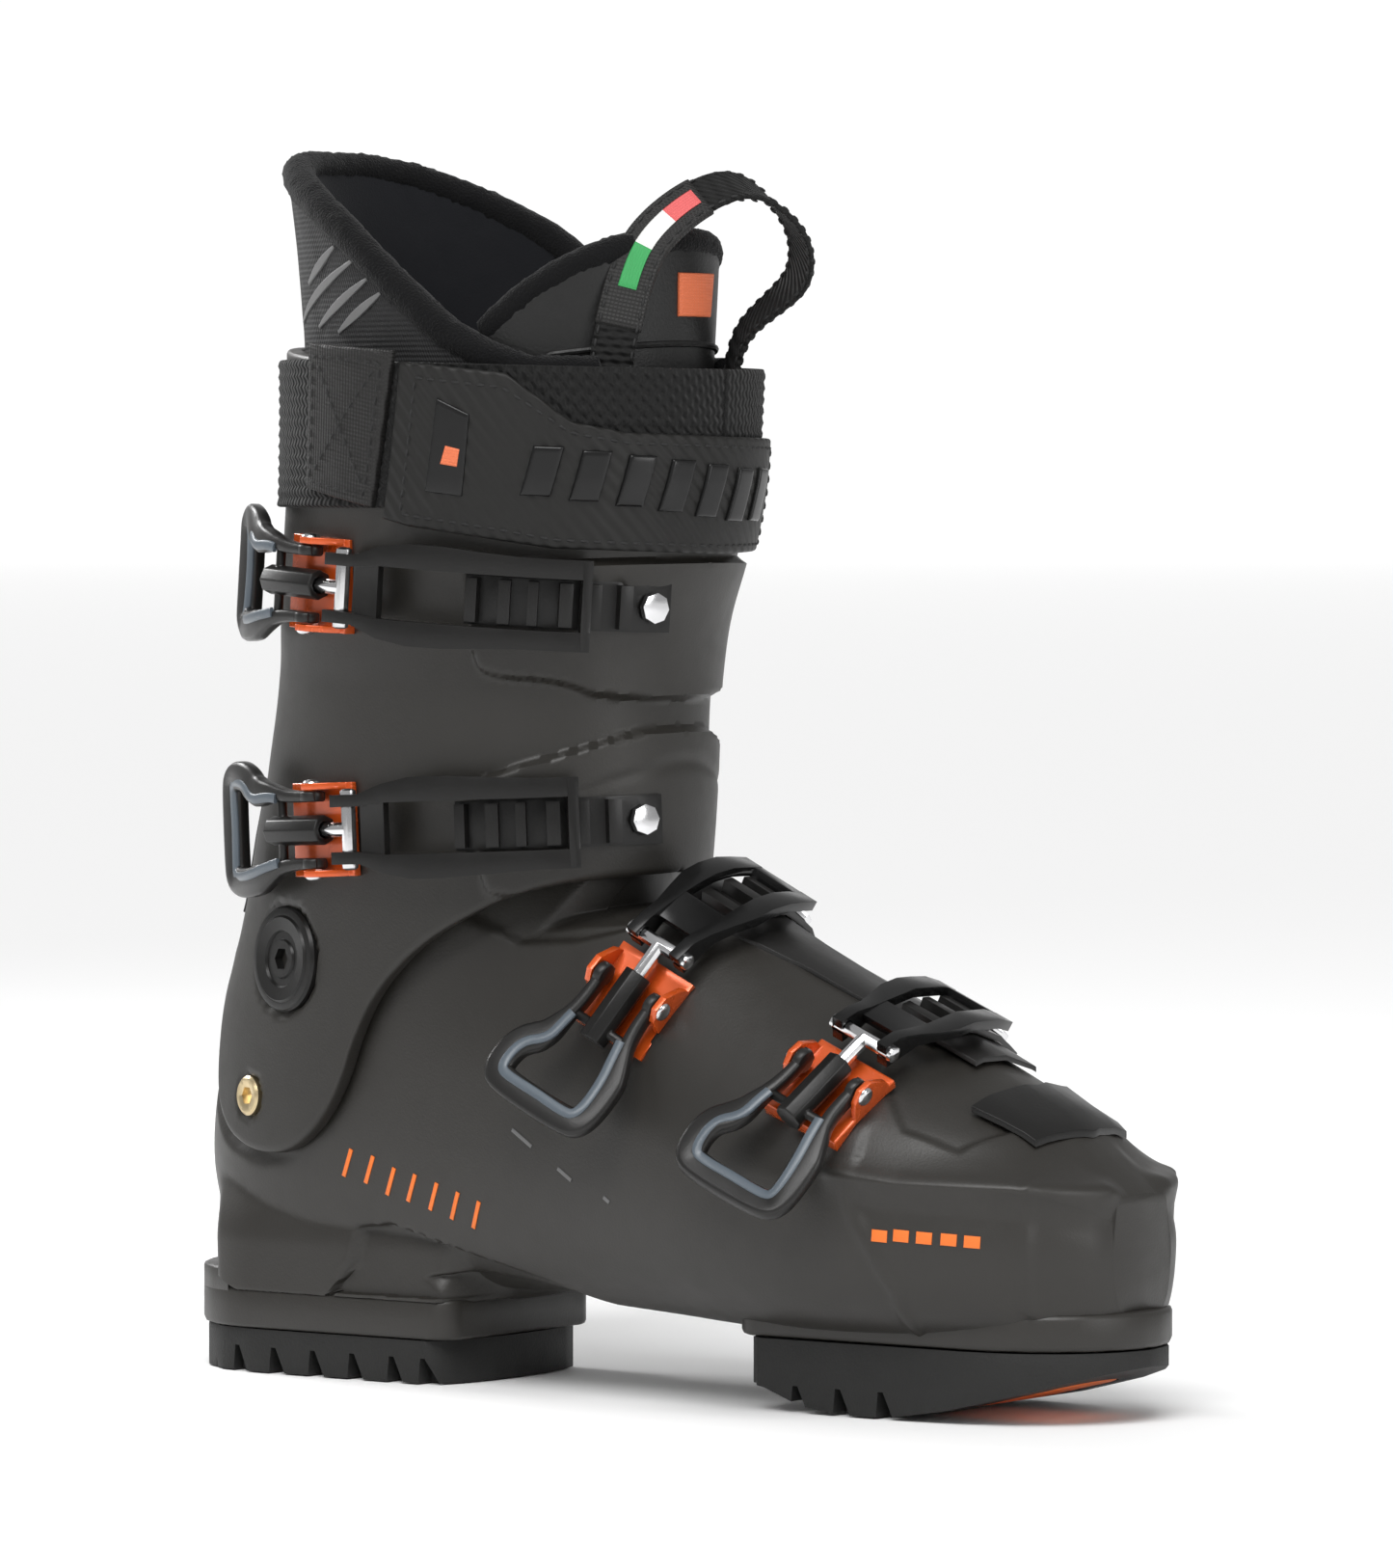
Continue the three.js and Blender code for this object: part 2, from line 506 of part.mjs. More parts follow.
for (const buckle of BUCKLES) {
  const { surface, centre, ahead, zero, end } = buckle;
  const path = wrap(surface, centre, ahead, LATERAL, zero + 45, end, zero);
  const home = path(0);
  home.point = home.point.clone().addScaledVector(home.out, PIN_HEIGHT);
  const matrix = frameMatrix(home);
  const place = (body) => solid(geometryOf(body).applyMatrix4(matrix));
  const group = new THREE.Group();
  group.name = buckle.name + "_frame";
  group.applyMatrix4(matrix);
  boot.add(group);

  // Base: a plate on the shell with an ear at each side.
  const ears = [1, -1].map((side) =>
    sidePrism(EAR_OUTLINE, -EAR / 2, EAR / 2).translate([0, side * (BUCKLE_SPAN / 2 - EAR / 2), 0]),
  );
  const floor = box(-14, 11, -BUCKLE_SPAN / 2, BUCKLE_SPAN / 2, -12, -PIN_HEIGHT + 2.6);
  const holes = rod(new THREE.Vector3(0, -20, 0), new THREE.Vector3(0, 20, 0), 1.6 + RUNNING);
  const onCuff = surface === LEG_SURFACE;
  const base = place(union(...ears, floor).subtract(holes)).subtract(onCuff ? cuffClear : shellClear);
  add(buckle.name + "_base", base, ORANGE);

  const under = path(-buckle.lever).point.sub(home.point).dot(home.out);
  const drop = -under - buckle.standOff;
  add(buckle.name + "_lever", leverBody(drop, buckle.lever), SHELL, group);
  add(buckle.name + "_lever_inlay", inlayBody(drop, buckle.lever), GREY, group);
  add(buckle.name + "_barrel", barrelBody(), BLACK, group);
  add(buckle.name + "_rod", rodBody(), STEEL, group);

  // Ladder: a toothed strip screwed to the flap.
  const lift = onCuff ? FLAP_STEP : INSTEP_FLAP + GAP;
  const deck = lift + GAP + 1.6;
  const ladderEnd = buckle.screw + 6;
  const half = LADDER_WIDTH / 2;
  const teeth = [];
  for (let i = 0; i < buckle.teeth; i++) {
    const s = buckle.first + i * TOOTH_PITCH;
    teeth.push(
      strip(path, s - TOOTH_HALF, s + TOOTH_HALF, deck - 0.5, deck + TOOTH_HEIGHT, -half, half, 1),
    );
  }
  if (onCuff) {
    const room = deck + TOOTH_HEIGHT + 2 * GAP;
    drills.swept.push(
      strip(path, buckle.first - 4, ladderEnd + 1, lift - 1, room, -half - 1.8, half + 1.8, 7),
    );
  }
  const screwPlace = path(buckle.screw);
  const screwAt = (height) => screwPlace.point.clone().addScaledVector(screwPlace.out, height);
  const hole = (radius) => rod(screwAt(-9), screwAt(12), radius);
  const ladder = union(
    strip(path, buckle.first - 2.5, ladderEnd, lift - 1, deck, -half - 0.8, half + 0.8, 7),
    ...teeth,
  )
    .subtract(onCuff ? flapClear : instepClear)
    .subtract(hole(2.1 + RUNNING));
  add(buckle.name + "_ladder", ladder, BLACK);
  const screwHead = rod(screwAt(deck + GAP), screwAt(deck + GAP + 1.9), 4.3);
  const screwShank = rod(screwAt(lift - 3.5), screwAt(deck + 1), 2.1);
  add(buckle.name + "_ladder_screw", union(screwHead, screwShank), STEEL);
  const spare = path(buckle.screw + 12);
  const spareHole = rod(
    spare.point.clone().addScaledVector(spare.out, -9),
    spare.point.clone().addScaledVector(spare.out, 9),
    2.4,
  );
  (onCuff ? drills.cuff : drills.shell).push(hole(2.1 + RUNNING), spareHole);

  // Bail: from the rod's cross pin, over the ladder, to a bar that drops behind a tooth.
  const pinPoint = new THREE.Vector3(BAIL_PIN, 0, 0).applyMatrix4(matrix);
  const below = path(BAIL_PIN);
  const pinHeight = pinPoint.clone().sub(below.point).dot(below.out);
  const ride = deck + 4.2;
  const middle = (s) => mix(pinHeight, ride, (s - BAIL_PIN) / 12);
  const bailHalf = BAIL_WIDTH / 2;
  const outer = (s) => mix(mix(9.6, bailHalf, (s - 20) / 12), bailHalf - 1.5, (s - 45) / 20);
  const inner = (s) => mix(6.2, LADDER_WIDTH / 2 + 1.2, (s - 18) / 10);
  const hooked = buckle.first + buckle.hook * TOOTH_PITCH - TOOTH_HALF;
  const barEnd = hooked - BAR_CLEAR;
  const rails = [1, -1].map((side) =>
    strip(
      path, BAIL_PIN - 4, barEnd, (s) => middle(s) - mix(3.6, 1.4, (s - 16) / 8),
      (s) => middle(s) + mix(3.6, 1.4, (s - 16) / 8), (s) => side * inner(s), (s) => side * outer(s), 8,
    ),
  );
  const web = strip(
    path, BAIL_PIN + 4, BAIL_PIN + 13, (s) => middle(s) - 1.2, (s) => middle(s) + 1.2, -10, 10, 3,
  );
  const barLow = deck + TOOTH_HEIGHT - BAR_BITE;
  const bar = strip(
    path, barEnd - 2 * BAR_HALF, barEnd, barLow, ride + 1.3, -bailHalf + 2, bailHalf - 2, 1,
  );
  const across = home.across;
  const socket = rod(
    pinPoint.clone().addScaledVector(across, -9.8 - RUNNING),
    pinPoint.clone().addScaledVector(across, 9.8 + RUNNING),
    2 + RUNNING,
  );
  add(buckle.name + "_bail", union(...rails, web, bar).subtract(socket), BLACK);
}

// ---- Pivots and cant screws, one pair on each side of the ankle ----
const PIVOT_DISC_RADIUS = 15;
const PIVOT_SHAFT_RADIUS = 5;
const CANT_SCREW_RADIUS = 6.9;
const insideCuff = leg(-CUFF_WALL + GAP);
for (const [side, word] of [[-1, "outer"], [1, "inner"]]) {
  const facing = new THREE.Vector3(0, side, 0);
  const pivotSkin = hitFrom(LEG_SURFACE, PIVOT, facing);
  const at = (depth) => new THREE.Vector3(PIVOT.x, pivotSkin.y + side * depth, PIVOT.z);
  const disc = union(
    rod(at(-1.4), at(1.6), PIVOT_DISC_RADIUS, 28).subtract(insideCuff),
    rod(at(-CUFF_WALL - CUFF_GAP - 2), at(0), PIVOT_SHAFT_RADIUS, 16),
  ).subtract(rod(at(0.6), at(4), 3.2, 6));
  add("ankle_pivot_" + word, disc, BLACK);
  const well = rod(at(-1.4 - GAP), at(12), PIVOT_DISC_RADIUS + GAP, 28);
  const shaft = rod(at(-20), at(0), PIVOT_SHAFT_RADIUS + GAP, 16);
  drills.cuff.push(well, shaft);
  drills.shell.push(shaft);

  const lobeSkin = hitFrom(LEG_SURFACE, new THREE.Vector3(LOBE.x, 0, LOBE.y), facing);
  const low = (depth) => new THREE.Vector3(LOBE.x, lobeSkin.y + side * depth, LOBE.y);
  const head = rod(low(-2), low(0.4), CANT_SCREW_RADIUS, 20).subtract(insideCuff);
  const shank = rod(low(-CUFF_WALL - 0.6), low(-1), 3);
  add("cant_screw_" + word, union(head, shank).subtract(rod(low(-0.9), low(3), 2.3, 6)), BRASS);
  drills.cuff.push(
    rod(low(-2 - GAP), low(12), CANT_SCREW_RADIUS + 1.4, 20),
    rod(low(-20), low(0), 3 + GAP),
  );
}

// ---- Cuff ----
const cuff = drills.cuff.reduce((body, drill) => body.subtract(drill), cuffBlank);
add("cuff_shell", cuff, SHELL);
// The strap keeps its width and sits above the top buckle.
const STRAP_BOTTOM = zs(220) + BUCKLE_SPAN / 2 + 10;
const STRAP_TOP = STRAP_BOTTOM + STRAP_WIDTH - 9;
const spineRegion = box(-FAR, 0, -15, 15, 128, STRAP_BOTTOM - 2);
add("cuff_spine", ringWall(GAP + 1.8, GAP).intersect(spineRegion), BLACK);

// ---- Lower shell ----
const heelOutline = (inset) =>
  padOutline(HEEL_BACK + inset, HEEL_FRONT - inset, sx(34), 8, PAD_WIDTH - 2 * inset);
const toeOutline = (inset) =>
  padOutline(TOE_LUG_REAR + inset, TOE_TIP - inset, 8, sx(38), PAD_WIDTH - 2 * inset);
const heelBlock = plate(heelOutline(0), HEEL_PAD_HEIGHT + GAP, HEEL_LEDGE);
// Only the lip ahead of the toe reaches the ledge's full height.
const toeBlock = union(
  plate(toeOutline(0), TOE_LUG_BOTTOM, TOE_LEDGE - 0.6),
  plate(toeOutline(0), TOE_LUG_BOTTOM, TOE_LEDGE).intersect(box(sx(263.5), FAR, -FAR, FAR, 0, FAR)),
);
const cuffSweep = swept(
  union(ringWall(FLAP_STEP + 2 * GAP, -CUFF_WALL - 2 * GAP).intersect(cuffRegion), ...drills.swept),
);
const shellBlank = union(foot(0), heelBlock, toeBlock)
  .subtract(foot(-SHELL_WALL))
  .subtract(above(SHELL_TOP))
  .subtract(box(TOE_LUG_REAR - 5, FAR, -FAR, FAR, -FAR, TOE_LUG_BOTTOM))
  .subtract(cuffSweep);
const cantSlot = swept(
  rod(new THREE.Vector3(LOBE.x, -60, LOBE.y), new THREE.Vector3(LOBE.x, 60, LOBE.y), 3 + GAP),
);
const shellBody = [...drills.shell, cantSlot].reduce((body, drill) => body.subtract(drill), shellBlank);
add("lower_shell", shellBody, SHELL);

// ---- Soles ----
const treadCut = (x, depth, lean) => {
  const notch = [[x - 1.6, -1], [x + 1.6 + lean, -1], [x + 0.8, depth], [x - 0.8, depth]];
  return sidePrism(notch, -FAR / 4, -PAD_WIDTH / 2 + 7);
};
const heelPad = [-34, -20, -6, 8, 22, 36, 47]
  .flatMap((x) => [treadCut(sx(x), 7, 3), treadCut(sx(x), 7, 3).mirror([0, 1, 0])])
  .reduce((body, cut) => body.subtract(cut), plate(heelOutline(1), 0, HEEL_PAD_HEIGHT));
add("heel_sole_pad", heelPad, RUBBER);
const rocker = [
  [TOE_LUG_REAR - 5, 30], [TOE_LUG_REAR - 5, 9], [sx(164), 6], [sx(176), 1.6], [sx(190), 0], [sx(204), 0.2],
  [sx(222), 3], [sx(244), 8.4], [TOE_TIP + 5, 16.6], [TOE_TIP + 5, 30],
];
const toePadBlank = plate(toeOutline(0.6), 0, TOE_LUG_BOTTOM - GAP).intersect(
  sidePrism(rocker, -FAR / 4, FAR / 4),
);
const insertRegion = (grow) =>
  plate(padOutline(sx(206) - grow, sx(250) + grow, 6, 6, 30 + 2 * grow), 0, 14 + grow);
const toePad = [160, 174, 188, 202]
  .flatMap((x) => [treadCut(sx(x), 7, 3), treadCut(sx(x), 7, 3).mirror([0, 1, 0])])
  .reduce((body, cut) => body.subtract(cut), toePadBlank.subtract(insertRegion(GAP)));
add("toe_sole_pad", toePad, RUBBER);
add("toe_sole_insert", insertRegion(0).intersect(sidePrism(rocker, -FAR / 4, FAR / 4)), ORANGE_RUBBER);

// ---- Inside the lower shell ----
const BOARD_TOP = 33;
const LINER_SOLE = BOARD_TOP + GAP + 5;
const footGap = -SHELL_WALL - 0.8;
add(
  "boot_board",
  foot(footGap).intersect(below(BOARD_TOP)).subtract(box(-FAR, FAR, -FAR, FAR, -FAR, 26.4)),
  FOAM,
);
// The cuff's own liner and tongue turn inside this space.
const cuffSpace = swept(leg(-CUFF_WALL).intersect(above(132)));
const linerFoot = foot(footGap)
  .subtract(below(BOARD_TOP + GAP))
  .subtract(foot(footGap - LINER_WALL).subtract(below(LINER_SOLE)))
  .subtract(above(SHELL_TOP - 4))
  .subtract(cuffSpace)
  .subtract(cuffSweep);
add("liner_foot", linerFoot, FABRIC);
add(
  "footbed",
  foot(footGap - LINER_WALL - 2 * GAP).subtract(below(LINER_SOLE + GAP)).intersect(below(LINER_SOLE + 3.6)),
  FOAM,
);

// ---- Liner cuff, tongue and pull loop ----
const linerOut = -CUFF_WALL - GAP;
const LINER_START = SHELL_TOP + 13;
const linerTop = [
  [sx(-120), LINER_START], [sx(94), LINER_START], [sx(94), zs(281)], [sx(72), zs(287)], [sx(52), zs(300)],
  [sx(30), zs(317)], [sx(11), zs(330)], [sx(-4), zs(339)], [sx(-120), zs(339)],
];
add(
  "liner_cuff",
  ringWall(linerOut, linerOut - LINER_WALL).intersect(sidePrism(linerTop, -FAR / 4, FAR / 4)),
  FABRIC,
);
const tongueOut = linerOut - LINER_WALL - GAP;
const tongueSide = [
  [sx(72), LINER_START], [sx(200), LINER_START], [sx(200), zs(312)], [sx(104), zs(318)], [sx(84), zs(314)],
  [sx(72), zs(298)],
];
add(
  "tongue",
  ringWall(tongueOut, tongueOut - TONGUE_WALL).intersect(sidePrism(tongueSide, -FAR / 4, FAR / 4)),
  FABRIC,
);

// The loop's two roots lie between the tongue and the cuff; the rest stands free.
const rootSurface = surfaceOf(legLoft(tongueOut + 3.6));
const root = (y, z, ahead = 0) => {
  const from = new THREE.Vector3(sx(57), sy(y), zs(z));
  return hitFrom(rootSurface, from, new THREE.Vector3(1, 0, 0)).add(new THREE.Vector3(ahead, 0, 0));
};
const free = (x, y, z) => new THREE.Vector3(root(y, 289).x + x, sy(y), zs(z));
const loopPath = new THREE.CatmullRomCurve3([
  root(-31, 272), root(-30.5, 289), free(4, -17, 316), free(17, 2, 331), free(29, 14, 322), free(25, 24, 307),
  root(26, 291, 4.5), root(26, 272),
]);
function ribbon(curve, width, thick, steps, sideAt) {
  const rings = [];
  for (let i = 0; i <= steps; i++) {
    const point = curve.getPoint(i / steps);
    const along = curve.getTangent(i / steps);
    const side = sideAt(i / steps);
    side.addScaledVector(along, -side.dot(along)).normalize();
    const out = along.clone().cross(side);
    const corner = (a, b) => point.clone().addScaledVector(side, a).addScaledVector(out, b);
    rings.push([
      corner(-width / 2, -thick / 2), corner(width / 2, -thick / 2), corner(width / 2, thick / 2),
      corner(-width / 2, thick / 2),
    ]);
  }
  return solid(skin(rings));
}
const loopSide = (t) => new THREE.Vector3(0.75, 0.73 * (1 - 2 * t), -0.45 * Math.sin(Math.PI * t));
const loopBlank = ribbon(loopPath, 12, 1.4, 20, loopSide);
add("pull_loop", loopBlank.subtract(ringWall(0, -CUFF_WALL - GAP).intersect(cuffRegion)), WEBBING);

// ---- Power strap ----
const strapIn = GAP + 0.2;
const bandRegion = box(-FAR, FAR, -FAR, FAR, STRAP_BOTTOM, STRAP_TOP);
const strapSlit = box(sx(60), sx(84), 0, FAR, -FAR, FAR);
add(
  "power_strap_band",
  ringWall(strapIn + STRAP_THICK, strapIn).intersect(bandRegion).subtract(strapSlit),
  WEBBING,
);
const flapIn = strapIn + STRAP_THICK + GAP;
const onStrap = (outline) => outline.map(([x, up]) => [sx(x), STRAP_BOTTOM + up]);
const flapSide = onStrap([
  [54, -3], [62, -4.5], [98, -11], [200, -13], [200, 19], [104, 23], [91, 36.5], [61.5, 40],
]);
add(
  "power_strap_flap",
  ringWall(flapIn + STRAP_THICK, flapIn)
    .intersect(sidePrism(flapSide, -FAR / 4, sy(30))),
  SOFT_FLAP,
);
const patchSide = onStrap([[24, 5], [50.4, 0.4], [59, 42], [28, 44.5]]);
add(
  "power_strap_patch",
  ringWall(flapIn + STRAP_THICK, flapIn).intersect(sidePrism(patchSide, -FAR / 4, 0)),
  SOFT_FLAP,
);

// ---- Toe badge ----
const badgeRegion = plate(
  [[sx(226), -26], [sx(244), -22], [sx(248), 0], [sx(244), 22], [sx(226), 26], [sx(230), 0]],
  60, 140,
);
add("toe_badge", foot(GAP + 1.4).subtract(foot(GAP)).intersect(badgeRegion), BLACK);

// ---- Instep flap: the soft inner edge of the lower shell, lapped over the centre ----
const instepRegion = plate(
  [[sx(121), -20], [sx(160), -12], [sx(216), -9], [sx(216), 20], [sx(160), 28], [sx(121), 24]], 80, 200,
);
const instepFlap = foot(GAP + INSTEP_FLAP)
  .subtract(foot(GAP))
  .intersect(instepRegion)
  .subtract(swept(leg(GAP).intersect(cuffRegion)));
add("instep_flap", drills.shell.reduce((body, drill) => body.subtract(drill), instepFlap), SOFT_FLAP);

export default boot;
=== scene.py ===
"""Alpine ski boot: the finished surfaces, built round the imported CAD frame.

Lengths are in millimetres until a mesh is made; +X points to the toe, +Y to the inner ankle and +Z up."""

import json
import math

import bmesh
import bpy
import numpy as np
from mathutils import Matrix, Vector

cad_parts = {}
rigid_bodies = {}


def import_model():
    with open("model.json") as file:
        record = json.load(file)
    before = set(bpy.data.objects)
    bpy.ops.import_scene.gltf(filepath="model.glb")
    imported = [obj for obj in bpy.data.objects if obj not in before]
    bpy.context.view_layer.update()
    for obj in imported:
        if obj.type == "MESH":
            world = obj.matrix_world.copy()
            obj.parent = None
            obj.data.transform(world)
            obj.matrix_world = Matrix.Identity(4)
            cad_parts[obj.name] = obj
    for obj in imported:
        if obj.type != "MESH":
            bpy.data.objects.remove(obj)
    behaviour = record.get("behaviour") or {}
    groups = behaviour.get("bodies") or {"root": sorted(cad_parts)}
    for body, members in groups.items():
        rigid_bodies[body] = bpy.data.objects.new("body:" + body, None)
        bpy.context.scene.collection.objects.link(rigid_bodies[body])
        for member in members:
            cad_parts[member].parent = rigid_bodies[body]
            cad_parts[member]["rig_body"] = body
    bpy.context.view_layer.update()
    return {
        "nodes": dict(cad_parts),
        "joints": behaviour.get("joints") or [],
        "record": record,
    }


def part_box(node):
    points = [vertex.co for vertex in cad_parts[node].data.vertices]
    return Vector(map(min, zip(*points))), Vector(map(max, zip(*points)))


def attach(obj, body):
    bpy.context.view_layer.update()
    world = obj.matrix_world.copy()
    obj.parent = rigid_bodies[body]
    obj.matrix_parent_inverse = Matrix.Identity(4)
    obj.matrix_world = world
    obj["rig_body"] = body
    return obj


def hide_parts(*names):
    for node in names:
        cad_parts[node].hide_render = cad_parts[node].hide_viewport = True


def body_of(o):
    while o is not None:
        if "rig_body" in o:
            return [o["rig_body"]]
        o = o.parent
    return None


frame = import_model()
MM = 0.001
BODY = "lower_boot"
CUFF = "cuff"
JOINTS = {joint["name"]: joint for joint in frame["joints"]}

# ---- Sizes shared with the CAD part ----
SHELL_WALL = 5.0
CUFF_WALL = 4.6
CUFF_CLEARANCE = 0.9
CUFF_EDGE = 1.6
CUFF_TILT = JOINTS["cuff_flex"]["range_deg"][1]
PIVOT = np.array(JOINTS["cuff_flex"]["pos_m"]) / MM
FLAP_STEP = 3.2
SHELL_TOP = 150.0
PAD_WIDTH = 69.0
HEEL_BACK, HEEL_FRONT, HEEL_ROUND = -48.0, 57.0, 34.0
TOE_LUG_REAR, TOE_TIP = 153.0, 267.0
HEEL_PAD_HEIGHT, HEEL_LEDGE = 12.0, 29.0
TOE_LUG_BOTTOM, TOE_LEDGE = 19.8, 30.0
BAIL_PIN = 15.0
ARM_MIDDLE = 9.3
CANT_X, CANT_Z = -11.5, 78.0


# ---- Lofted surfaces of the foot and the leg ----
# Top and bottom points on the centre plane (x, z), half width, height share of the widest place, and how
# square the section is above and below it.
FOOT = np.array([
    (263.5, 61, 263.5, 27, 14, 0.8, 2.6, 3.4), (260.5, 64, 259.5, 23, 22, 0.83, 1.9, 3.6),
    (252, 71.5, 250, 20.5, 32, 0.8, 1.6, 3.8), (240, 81, 238, 20, 40.5, 0.71, 1.6, 3.8),
    (222, 91.5, 220, 19.5, 47, 0.62, 1.65, 3.6), (200, 102, 200, 19, 51.2, 0.55, 1.75, 3.4),
    (178, 112, 176, 19, 53, 0.49, 1.8, 3.2), (158, 121.5, 150, 20, 51.5, 0.46, 1.85, 3),
    (142, 130, 125, 21, 48.5, 0.46, 1.9, 2.8), (128, 138, 100, 21, 45, 0.47, 1.95, 2.8),
    (117, 144, 72, 20.5, 42, 0.48, 2, 2.8), (109, 149, 42, 19, 40, 0.5, 2, 2.8),
    (105, 154, 12, 18.5, 39.2, 0.5, 2, 2.7), (103.3, 159, -16, 21, 39.2, 0.5, 2, 2.6),
    (102.8, 163, -36, 31, 39.6, 0.5, 2, 2.4), (102.8, 166, -45, 49, 40, 0.5, 2, 2.2),
    (103, 168.5, -46, 68, 40.3, 0.52, 2, 2.1), (103.3, 171, -42.5, 87, 40.6, 0.54, 2, 2),
    (103.7, 173.5, -36, 106, 41, 0.55, 2, 2), (104, 176, -29, 124, 41.5, 0.56, 2, 2),
    (104.4, 179, -24, 142, 42, 0.57, 2, 2), (105, 183, -20, 160, 42.6, 0.57, 2, 2),
    (105.5, 188, -17, 182, 43.2, 0.57, 2, 2),
])
# Height, back, front, half width and the x of the widest place.
LEG_LEVELS = [
    (40, -52, 84, 44.5, 40), (70, -50, 92, 45.8, 42), (95, -45, 99, 46.4, 45), (117, -37.5, 104, 47, 47),
    (131, -33, 107, 47.4, 48), (150, -29, 109, 48, 50), (167, -24.2, 110, 49, 51), (195, -19, 110.5, 50.5, 54),
    (212, -17.5, 113, 52.5, 54), (230, -15.8, 119, 54.5, 55.5), (250, -13.5, 123, 56.5, 57),
    (283, -12.5, 125, 58, 57), (312, -15, 127, 58.5, 56), (345, -20, 129, 58, 54),
]
LEG_SQUARE = 2.05
LEG = np.array([
    (front, z, back, z, half, (widest - back) / (front - back), LEG_SQUARE, LEG_SQUARE)
    for z, back, front, half, widest in LEG_LEVELS
])
TOE_STATIONS = 6


def unit(vectors):
    return vectors / np.linalg.norm(vectors, axis=-1, keepdims=True)


def between(table, place):
    """Catmull-Rom rows of a table at fractional row numbers."""
    place = np.asarray(place, float)
    low = np.clip(np.floor(place).astype(int), 0, len(table) - 2)
    t = (place - low)[..., None]
    a, b, c, d = (table[np.clip(low + k, 0, len(table) - 1)] for k in (-1, 0, 1, 2))
    return b + 0.5 * t * (c - a + t * (2 * a - 5 * b + 4 * c - d + t * (3 * (b - c) + d - a)))


def section(rows, turn, grow, shift=0.0):
    top_x, top_z, low_x, low_z, half, widest, upper, lower = np.moveaxis(rows, -1, 0)
    dx, dz = top_x - low_x, top_z - low_z
    tall = np.hypot(dx, dz)
    c, s = np.cos(turn), np.sin(turn)
    power = 2 / np.where(c > 0, upper, lower)
    reach = np.where(c > 0, (1 - widest) * tall, widest * tall) + grow
    along = widest * tall + reach * np.sign(c) * np.abs(c) ** power
    y = (half + grow) * np.sign(s) * np.abs(s) ** power
    return np.stack([low_x + shift + dx / tall * along, y, low_z + dz / tall * along], -1)


def foot_at(place, turn, grow=0.0):
    place, turn = np.broadcast_arrays(np.asarray(place, float), np.asarray(turn, float))
    shift = grow * np.clip(1 - place / TOE_STATIONS, 0, None)
    return section(between(FOOT, place), turn, grow, shift)


def leg_rows(z):
    return between(LEG, np.interp(z, LEG[:, 1], np.arange(len(LEG))))


def leg_at(turn, z, grow=0.0):
    """A point of the leg surface; turn 0 is the front, a quarter turn the inner side."""
    z, turn, grow = np.broadcast_arrays(*(np.asarray(v, float) for v in (z, turn, grow)))
    rows = leg_rows(z).copy()
    rows[..., 1] = z
    rows[..., 3] = z
    return section(rows, turn, grow)


def leg_turn(x, z, outer=True):
    """The turn at which the leg surface passes a given x, on the outer (buckle) or the inner side."""
    rows = leg_rows(z)
    front, back, widest = rows[..., 0], rows[..., 2], rows[..., 5]
    centre = back + widest * (front - back)
    reach = np.where(x > centre, front - centre, centre - back)
    c = np.sign(x - centre) * np.clip(np.abs(x - centre) / reach, 0, 1) ** (LEG_SQUARE / 2)
    turn = np.arccos(np.clip(c, -1, 1))
    return 2 * np.pi - turn if outer else turn


def rotate_y(points, degrees):
    """Turns points about the ankle pivot as the cuff turns when it flexes forward."""
    a = math.radians(degrees)
    p = points - PIVOT
    x = p[..., 0] * math.cos(a) + p[..., 2] * math.sin(a)
    z = -p[..., 0] * math.sin(a) + p[..., 2] * math.cos(a)
    return np.stack([x, p[..., 1], z], -1) + PIVOT


# ---- Plane figures ----
def smooth(points, rounds=2, closed=True):
    """Chaikin corner cutting."""
    p = np.asarray(points, float)
    for _ in range(rounds):
        q = np.roll(p, -1, 0) if closed else p[1:]
        r = p if closed else p[:-1]
        cut = np.stack([0.75 * r + 0.25 * q, 0.25 * r + 0.75 * q], 1).reshape(-1, p.shape[1])
        p = cut if closed else np.vstack([p[:1], cut, p[-1:]])
    return p


def run_of(points):
    """The distance along a line at each of its points."""
    return np.concatenate([[0], np.cumsum(np.linalg.norm(np.diff(points, axis=0), axis=1))])


def resample(points, count):
    p = np.asarray(points, float)
    length = run_of(p)
    at = np.linspace(0, length[-1], count)
    return np.stack([np.interp(at, length, p[:, k]) for k in range(p.shape[1])], -1)


def line_distance(x, z, line):
    """Distance from points to an open polyline."""
    best = np.full(np.shape(x), 1e9)
    for (ax, az), (bx, bz) in zip(line[:-1], line[1:]):
        dx, dz = bx - ax, bz - az
        t = np.clip(((x - ax) * dx + (z - az) * dz) / (dx * dx + dz * dz), 0, 1)
        best = np.minimum(best, np.hypot(x - ax - t * dx, z - az - t * dz))
    return best


def inside(x, z, polygon):
    """Signed distance to a polygon, positive inside it."""
    polygon = np.asarray(polygon, float)
    within = np.zeros(np.shape(x), bool)
    for (ax, az), (bx, bz) in zip(polygon, np.roll(polygon, -1, 0)):
        if az != bz:
            crosses = ((az > z) != (bz > z)) & (x < (bx - ax) * (z - az) / (bz - az) + ax)
            within ^= crosses
    distance = line_distance(x, z, np.vstack([polygon, polygon[:1]]))
    return np.where(within, distance, -distance)


def step(value, low, high):
    """A smooth rise from 0 to 1 between low and high."""
    t = np.clip((value - low) / (high - low), 0, 1)
    return t * t * (3 - 2 * t)


def rim_fall(rim, edge):
    """How far a surface falls at the distance rim from its border, when its rim is rounded over edge."""
    return edge - np.sqrt(np.clip(edge**2 - np.clip(edge - rim, 0, edge) ** 2, 0, None))


